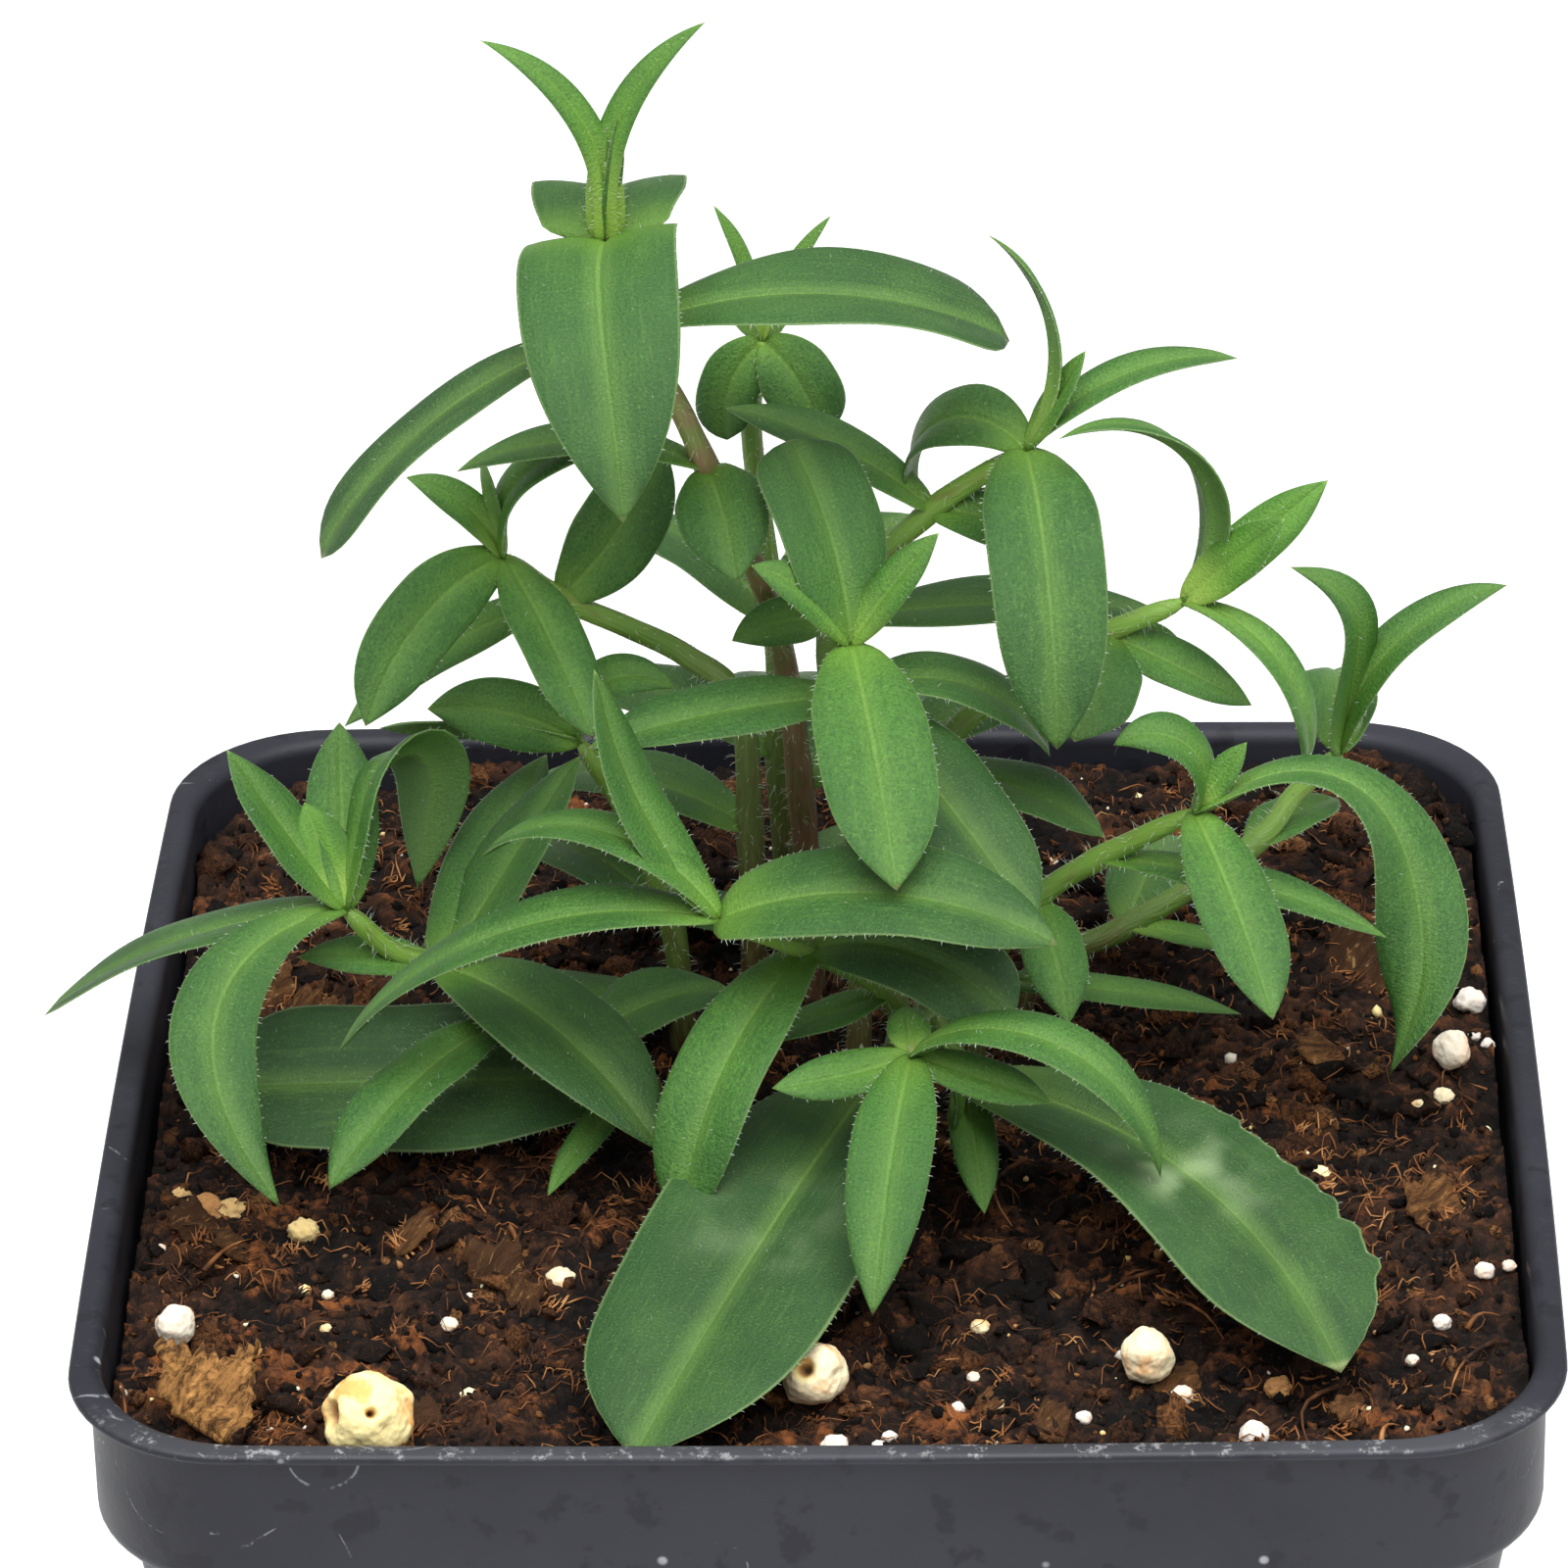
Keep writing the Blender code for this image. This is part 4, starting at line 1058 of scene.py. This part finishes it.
def make_pot(finishes):
    collar = RIM_HALF - LIP_OVERHANG
    step = -COLLAR_HEIGHT
    body = outer_half(step)
    floor = -POT_HEIGHT + FLOOR
    low = outer_half(floor) - WALL
    high = body - WALL
    half_lip = LIP_THICKNESS / 2
    profile = [(0, -POT_HEIGHT)]
    base = BASE_HALF - BASE_ROUND
    profile += arc(base, -POT_HEIGHT + BASE_ROUND, BASE_ROUND, -90, 0, SMALL_ARC_STEPS)
    profile += [(body - 0.2, step - 1), (body, step - 0.1)]
    profile += arc(collar - COLLAR_STEP, step + COLLAR_STEP, COLLAR_STEP, -75, 0, COLLAR_ARC_STEPS)
    under_lip = -LIP_THICKNESS - LIP_FILLET
    profile += [(collar, step / 2), (collar, under_lip)]
    profile += arc(collar + LIP_FILLET, under_lip, LIP_FILLET, 180, 90, SMALL_ARC_STEPS)
    profile += arc(RIM_HALF - half_lip, -half_lip, half_lip, -90, 90, LIP_ARC_STEPS)
    profile += arc(INNER_HALF + LIP_DOME, -LIP_DOME, LIP_DOME, 90, 180, LIP_ARC_STEPS)
    profile += [(INNER_HALF, step / 2), (INNER_HALF, step + COLLAR_STEP)]
    profile += [(high, step), (low, floor), (0, floor)]
    around = 4 * (CORNER_STEPS + SIDE_STEPS)
    rings = [rounded_square(half, corner_for(half)) if half else [(0, 0)] * around for half, _ in profile]

    def put(row, column):
        return Vector((*rings[row][column], profile[row][1])), *PLAIN

    bm = closed_skin(around, len(profile) - 1, put)
    drill_drains(piece("fine_pot", bm, [finishes["pot"]], "pot", "pot"))


def drill_drains(pot):
    """Round holes through the pot's floor."""
    drills = bpy.data.collections.new("drills")
    bpy.context.scene.collection.children.link(drills)
    for x in (-DRAIN_OFFSET, DRAIN_OFFSET):
        for y in (-DRAIN_OFFSET, DRAIN_OFFSET):
            bm = bmesh.new()
            place = Matrix.Translation((x * MM, y * MM, 0))
            wide = DRAIN_RADIUS * MM
            bmesh.ops.create_cone(
                bm, cap_ends=True, segments=DRAIN_SIDES,
                radius1=wide, radius2=wide, depth=4 * FLOOR * MM, matrix=place,
            )
            drills.objects.link(bpy.data.objects.new("drill", as_mesh("drill", bm)))
    boolean = pot.modifiers.new("drains", "BOOLEAN")
    boolean.operand_type = "COLLECTION"
    boolean.collection = drills
    boolean.solver = "EXACT"
    graph = bpy.context.evaluated_depsgraph_get()
    pot.data = bpy.data.meshes.new_from_object(pot.evaluated_get(graph))
    pot.modifiers.clear()
    for drill in list(drills.objects):
        bpy.data.objects.remove(drill)
    bpy.data.collections.remove(drills)


def soil_height(x, y):
    """Height of the soil below the rim at a place, in millimetres, without its crumbs."""
    lump = noise.noise(Vector((x / LUMP_SIZE, y / LUMP_SIZE, 0)))
    crumb = noise.noise(Vector((x / CRUMB_SIZE, y / CRUMB_SIZE, 5)))
    tilt = SOIL_TILT_RIGHT * x + SOIL_TILT_BACK * y
    return SOIL_LEVEL + tilt + LUMP_HEIGHT * lump + CRUMB_HEIGHT * crumb


def peat_rough(x, y):
    """The soil's clods, crumbs and cracks over its even height."""
    spot = Vector((x, y, 0))
    bend = noise.noise_vector(spot / BEND_SIZE) * BEND
    clod = noise.voronoi((spot + bend) / CLOD_SIZE)[0][0]
    grit = noise.voronoi((spot + bend) / GRIT_SIZE + Vector((7, 3, 1)))[0][0]
    rough = noise.fractal(spot / ROUGH_SIZE, 0.6, 2.1, 5)
    return CLOD_HEIGHT * (0.45 - clod) + GRIT_HEIGHT * (0.45 - grit) + ROUGH_HEIGHT * rough


def peat_height(x, y):
    return soil_height(x, y) + peat_rough(x, y)


def squared(a, b, half, corner):
    """Maps a square's point, a and b from -1 to 1, into a square with rounded corners."""
    ring = max(abs(a), abs(b))
    if ring == 0:
        return 0, 0
    flat = (half - corner) * ring
    reach = half * ring
    x, y = abs(a) * half, abs(b) * half
    if min(x, y) > flat:
        angle = pi / 4 * (min(x, y) - flat) / (reach - flat)
        if y > x:
            angle = pi / 2 - angle
        x = flat + (reach - flat) * cos(angle)
        y = flat + (reach - flat) * sin(angle)
    return (x if a > 0 else -x), (y if b > 0 else -y)


def make_soil(finishes):
    half = INNER_HALF - GAP
    bm = bmesh.new()
    bmesh.ops.create_grid(bm, x_segments=SOIL_CELLS, y_segments=SOIL_CELLS, size=1)
    tint = bm.verts.layers.float.new("tint")
    for vert in bm.verts:
        x, y = squared(vert.co.x, vert.co.y, half, corner_for(half))
        rough = peat_rough(x, y)
        # Painted shade: low places get a low tint, which the soil's finish paints near black
        vert[tint] = min(max(0.5 + 0.55 * rough, 0), 1)
        vert.co = from_rim(Vector((x, y, soil_height(x, y) + rough)))
    rim = [edge for edge in bm.edges if edge.is_boundary]
    step = -COLLAR_HEIGHT
    floor = -POT_HEIGHT + FLOOR + GAP
    depths = [(step + COLLAR_STEP, half)]
    depths += [(depth, outer_half(depth) - WALL - GAP) for depth in (step, floor)]
    for depth, reach in depths:
        extruded = bmesh.ops.extrude_edge_only(bm, edges=rim)["geom"]
        for vert in [item for item in extruded if isinstance(item, bmesh.types.BMVert)]:
            vert.co.z = (depth + POT_HEIGHT) * MM
            vert.co.x *= reach / half
            vert.co.y *= reach / half
        rim = [item for item in extruded if isinstance(item, bmesh.types.BMEdge)]
        half = reach
    bmesh.ops.contextual_create(bm, geom=rim)
    bmesh.ops.recalc_face_normals(bm, faces=bm.faces)
    piece("fine_soil", bm, [finishes["soil"]], "soil", "soil")


def knobbly(centre, half, detail, knobs, seed, pits=()):
    """A knobbly lump round a place in millimetres. A pit is given by its direction and half width."""
    bm = bmesh.new()
    bmesh.ops.create_icosphere(bm, subdivisions=detail, radius=1)
    centre = Vector(centre)
    depth = bm.verts.layers.float.new("tint")
    for vert in bm.verts:
        push = 1 + GRAIN_KNOBS * noise.noise(vert.co * KNOB_SIZE + centre)
        push += knobs * noise.fractal(vert.co * 2.6 + centre + Vector((seed, 0, 0)), 0.8, 2.2, 3)
        for way, wide in pits:
            pit = exp(-(((vert.co - Vector(way).normalized()).length / wide) ** 4))
            push -= PIT_DEPTH * pit
            # Painted shade: the tint layer keeps each point's depth in a pit
            vert[depth] = max(vert[depth], pit)
        spot = Vector([along * size * push for along, size in zip(vert.co, half)])
        vert.co = from_rim(centre + spot)
    return bm


def tinted(bm, value):
    """Set a piece's place on its colour scale. Any depth of a pit moves it towards the scale's end, which
    on the perlite is a dark painted shade.
    """
    layer = bm.verts.layers.float["tint"]
    for vert in bm.verts:
        vert[layer] = value + (1 - value) * vert[layer]
    return bm


def make_grains(finishes):
    for number, (name, grain) in enumerate(GRAINS.items()):
        if name == "bark_chip":
            bm = torn_slab(grain["centre"], grain["half"], BARK_TILT, 0, BARK_TAPER, 3, BARK_STEPS)
            piece("fine_" + name, tinted(bm, BARK_TINT), [finishes["bark"]], "bark", name)
        else:
            pits = grain.get("pits", ())
            bm = knobbly(grain["centre"], grain["half"], GRAIN_DETAIL, GRAIN_ROUGHNESS, number, pits)
            piece("fine_" + name, tinted(bm, grain["golden"]), [finishes["perlite"]], "perlite", name)


def torn_slab(centre, half, tilt, turn, taper, seed, steps):
    """A flake of bark with fibres across it, a ragged far edge and a near end that tapers."""
    shift = Vector((seed * 3.7, seed * 1.3, 0))
    rotation = Matrix.Rotation(radians(turn), 3, "Z") @ Matrix.Rotation(radians(tilt), 3, "X")

    def put(row, column):
        b = row / steps * 2 - 1
        side = 1 if column <= steps else -1
        a = cos(pi * (column if side > 0 else 2 * steps - column) / steps)
        width = 1 - taper * max(-b, 0) ** 1.5
        ragged = 1 + RAGGED_EDGE * noise.fractal(Vector((a * 0.3, b * 3, 4)) + shift, 0.6, 2.2, 3)
        notch = NOTCH_DEPTH * noise.fractal(Vector((a * 6, 0, 9)) + shift, 0.5, 2.2, 3) * max(b, 0) ** 3
        fibre = noise.fractal(Vector(((a + b) * 5, (a - b) * 1.2, side)) + shift, 0.6, 2.1, 3)
        thick = side * sqrt(max(1 - a**4, 0)) * sqrt(max(1 - b**8, 0)) * (1 + 0.4 * fibre)
        spot = Vector((
            half[0] * (a * width * ragged + 0.5 * taper * max(-b, 0)),
            half[1] * (b + notch),
            half[2] * (0.5 * thick + 0.35 * noise.noise(Vector((a, b, 2)) + shift)),
        ))
        return Vector(centre) + rotation @ spot, *PLAIN

    return closed_skin(2 * steps, steps, put)


def chip_template(draw):
    """A small torn lump of peat, one unit long."""
    bm = bmesh.new()
    bmesh.ops.create_icosphere(bm, subdivisions=2, radius=0.5)
    shift = Vector([draw.uniform(0, 50) for _ in range(3)])
    flat = draw.uniform(0.35, 0.7)
    for vert in bm.verts:
        way = vert.co * 2
        push = 1 + 0.9 * noise.noise(way * 1.4 + shift) + 0.7 * noise.noise(way * 3.7 + shift)
        vert.co *= push
        vert.co.y *= flat
        vert.co.z *= 0.5
    return as_mesh("chip", bm)


def crumb_template(draw):
    """A small crumb of peat or perlite, one unit long."""
    bm = bmesh.new()
    bmesh.ops.create_icosphere(bm, subdivisions=1, radius=0.5)
    shift = Vector([draw.uniform(0, 50) for _ in range(3)])
    for vert in bm.verts:
        vert.co *= 1 + 0.9 * noise.noise(vert.co * 3.2 + shift)
    return as_mesh("crumb", bm)


def random_place(draw, reach):
    return squared(draw.uniform(-1, 1), draw.uniform(-1, 1), reach, corner_for(reach))


def scatter(name, templates, count, sizes, lift, finish, slot, seed):
    """Copies of a few templates over the soil, each with its own place, turn, size and tint."""
    draw = Random(seed)
    reach = INNER_HALF - LITTER_MARGIN
    whole = bmesh.new()
    batch = bmesh.new()
    for number in range(count):
        x, y = random_place(draw, reach)
        size = sizes[0] * (sizes[1] / sizes[0]) ** (draw.random() ** FEW_LARGE)
        place = from_rim(Vector((x, y, peat_height(x, y) + lift * size)))
        turn = Matrix.Rotation(draw.uniform(0, 2 * pi), 4, "Z")
        for axis in "YX":
            turn @= Matrix.Rotation(draw.gauss(0, BIT_TILT), 4, axis)
        copy = draw.choice(templates).copy()
        copy.transform(Matrix.Translation(place) @ turn @ Matrix.Scale(size * MM, 4))
        copy.attributes.new("tint", "FLOAT", "POINT")
        tints = [draw.random() ** FEW_PALE] * len(copy.vertices)
        copy.attributes["tint"].data.foreach_set("value", tints)
        batch.from_mesh(copy)
        bpy.data.meshes.remove(copy)
        if number % BATCH == BATCH - 1 or number == count - 1:
            join(whole, batch)
            batch = bmesh.new()
    batch.free()
    piece(name, whole, [finish], slot)


def make_litter(finishes):
    """Peat chips, crumbs, fibres and tufts, and the dust of perlite."""
    draw = Random(5)
    chips = [chip_template(draw) for _ in range(CHIP_FORMS)]
    crumbs = [crumb_template(draw) for _ in range(CRUMB_FORMS)]
    scatter("peat_chips", chips, CHIPS, CHIP_SIZES, 0, finishes["litter"], "soil", 11)
    scatter("peat_crumbs", crumbs, CRUMBS, CRUMB_SIZES, 0.1, finishes["litter"], "soil", 12)
    scatter("perlite_dust", crumbs, DUST_GRAINS, DUST_SIZES, 0.25, finishes["perlite"], "perlite", 13)
    runs = []
    reach = INNER_HALF - FIBRE_MARGIN
    for _ in range(FIBRES):
        x, y = random_place(draw, reach)
        heading = draw.uniform(0, 2 * pi)
        bend = draw.gauss(0, FIBRE_BEND)
        step = draw.uniform(*FIBRE_LENGTHS) / FIBRE_POINTS
        lift = draw.uniform(0, FIBRE_LIFT)
        run = []
        for i in range(FIBRE_POINTS):
            height = peat_height(x, y) + lift * (1 - (i / 2.5 - 1) ** 2) + 0.05
            run.append(Vector((x, y, height)))
            heading += bend + draw.uniform(-0.25, 0.25)
            x = min(max(x + step * cos(heading), -reach), reach)
            y = min(max(y + step * sin(heading), -reach), reach)
        runs.append(run)
    strands("peat_fibres", runs, FIBRE_RADIUS, finishes["fibre"], "soil")
    runs = []
    for _ in range(TUFTS):
        x, y = random_place(draw, reach)
        runs += tuft(x, y, draw.randint(*FIBRES_IN_TUFT), draw.uniform(*TUFT_LENGTHS), draw)
    for x, y, long, *_ in FLAKES:
        runs += tuft(x, y, FIBRES_IN_FLAKE, long, draw)
    strands("peat_tufts", runs, TUFT_RADIUS, finishes["fibre"], "soil")


def tuft(x, y, count, long, draw):
    """Torn fibres that lie more or less alike round a place."""
    heading = draw.uniform(0, 2 * pi)
    runs = []
    for _ in range(count):
        way = heading + draw.gauss(0, TUFT_SPREAD)
        rise = draw.uniform(0, TUFT_RISE)
        place = Vector((x + draw.gauss(0, TUFT_SPREAD * long), y + draw.gauss(0, TUFT_SPREAD * long), 0))
        place.z = peat_height(x, y) + draw.uniform(-0.2, 0.4)
        ahead = Vector((cos(way), sin(way), rise)) * long * draw.uniform(0.4, 1)
        bow = Vector((-sin(way), cos(way), draw.uniform(0, 0.6))) * draw.gauss(0, TUFT_BOW) * long
        runs.append([place - ahead / 2, place + bow, place + ahead / 2])
    return runs


def make_small_grains(finishes):
    """The grains, golden lumps, flakes and splinters that lie at known places on the soil."""
    grains = bmesh.new()
    for number, (x, y, half, golden) in enumerate(SMALL_GRAINS):
        centre = (x, y, peat_height(x, y) + (0.4 - 0.4 * golden) * half)
        size = (half, half * 0.9, half * 0.85)
        grain = knobbly(centre, size, SMALL_GRAIN_DETAIL, 0.1 + 0.14 * golden, number)
        join(grains, tinted(grain, 0.75 * golden))
    piece("small_grains", grains, [finishes["perlite"]], "perlite")
    flakes = bmesh.new()
    for number, (x, y, long, wide, tilt, turn) in enumerate(FLAKES):
        centre = (x, y, peat_height(x, y) + 0.3 * long * sin(radians(tilt)))
        half = (wide, long, FLAKE_HALF)
        slab = torn_slab(centre, half, tilt, turn, FLAKE_TAPER, number + 5, FLAKE_STEPS)
        join(flakes, tinted(slab, 0.05 + 0.12 * (number % 4)))
    piece("bark_flakes", flakes, [finishes["bark"]], "bark")
    draw = Random(8)
    runs = []
    for start, end in SPLINTERS:
        a, b = Vector((*start, 0)), Vector((*end, 0))
        side = (b - a).cross(Vector((0, 0, 1))) * draw.uniform(-SPLINTER_BOW, SPLINTER_BOW)
        level = max(peat_height(a.x, a.y), peat_height(b.x, b.y)) + SPLINTER_LIFT
        run = []
        for i in range(FIBRE_POINTS):
            t = i / (FIBRE_POINTS - 1)
            spot = a.lerp(b, t) + side * sin(pi * t)
            spot.z = level + SPLINTER_ARCH * sin(pi * t)
            run.append(spot)
        runs.append(run)
    strands("splinters", runs, SPLINTER_RADIUS, finishes["fibre"], "bark")


def make_camera():
    yaw, pitch, roll = radians(CAMERA_YAW), radians(CAMERA_PITCH), radians(CAMERA_ROLL)
    ahead = Vector((-sin(yaw) * cos(pitch), cos(yaw) * cos(pitch), -sin(pitch)))
    level = Vector((cos(yaw), sin(yaw), 0))
    upright = level.cross(ahead)
    right = level * cos(roll) + upright * sin(roll)
    up = upright * cos(roll) - level * sin(roll)
    place = -(ahead * CAMERA_DISTANCE + right * CAMERA_RIGHT + up * CAMERA_UP)
    data = bpy.data.cameras.new("camera")
    data.lens = LENS
    data.sensor_width = SENSOR
    data.clip_start = 0.01
    camera = placed("camera", data)
    turn = Matrix((right, up, -ahead)).transposed().to_4x4()
    camera.matrix_world = Matrix.Translation(from_rim(place)) @ turn
    bpy.context.scene.camera = camera


def make_stage():
    f = Finish("white_floor")
    f.tone = f.mix(f.noise(f.place(), 3.0), FLOOR_WHITE, FLOOR_SOFT)
    bm = bmesh.new()
    bmesh.ops.create_grid(bm, x_segments=1, y_segments=1, size=FLOOR_SIZE / 2)
    floor = placed("floor", as_mesh("floor", bm))
    floor.data.materials.append(f.done(Roughness=0.9))


def make_light():
    """A studio sky that is brighter overhead, and one large soft light above the front."""
    world = bpy.data.worlds.new("studio")
    world.use_nodes = True
    tree = world.node_tree
    way = tree.nodes.new("ShaderNodeTexCoord")
    parts = tree.nodes.new("ShaderNodeSeparateXYZ")
    rise = tree.nodes.new("ShaderNodeMapRange")
    rise.inputs["To Min"].default_value = SKY_LOW
    rise.inputs["To Max"].default_value = SKY_HIGH
    tree.links.new(way.outputs["Generated"], parts.inputs[0])
    tree.links.new(parts.outputs["Z"], rise.inputs["Value"])
    tree.links.new(rise.outputs[0], tree.nodes["Background"].inputs["Strength"])
    tree.nodes["Background"].inputs["Color"].default_value = SKY_WHITE
    bpy.context.scene.world = world
    data = bpy.data.lights.new("top_light", "AREA")
    data.shape = "DISK"
    data.size = TOP_LIGHT_SIZE
    data.energy = TOP_LIGHT_POWER
    light = placed("top_light", data)
    light.location = TOP_LIGHT_PLACE
    light.rotation_euler = (-light.location).to_track_quat("-Z", "Y").to_euler()
    bpy.context.scene.view_settings.view_transform = "Standard"


def main():
    noise.seed_set(NOISE_SEED)
    make_camera()
    make_stage()
    make_light()
    finishes = {
        "leaf": leaf_finish(),
        "stem": stem_finish(),
        "hair": hair_finish(),
        "pot": pot_finish(),
        "soil": soil_finish(),
        "perlite": perlite_finish(),
        "litter": litter_finish(
            "peat_litter", 1.0, 2.4,
            (0, 12, 8, 6), (0.35, 40, 25, 16), (0.65, 88, 54, 31), (0.88, 134, 86, 48), (1, 170, 118, 72),
        ),
        "bark": litter_finish(
            "golden_bark", 0.3, 1.4,
            (0, 60, 38, 22), (0.4, 114, 77, 42), (0.8, 170, 122, 68), (1, 216, 172, 112),
        ),
        "fibre": fibre_finish(),
    }
    make_pot(finishes)
    make_soil(finishes)
    make_litter(finishes)
    make_grains(finishes)
    make_small_grains(finishes)
    for number, (name, shoot) in enumerate(SHOOTS.items()):
        make_shoot(number, name, shoot, finishes)


main()
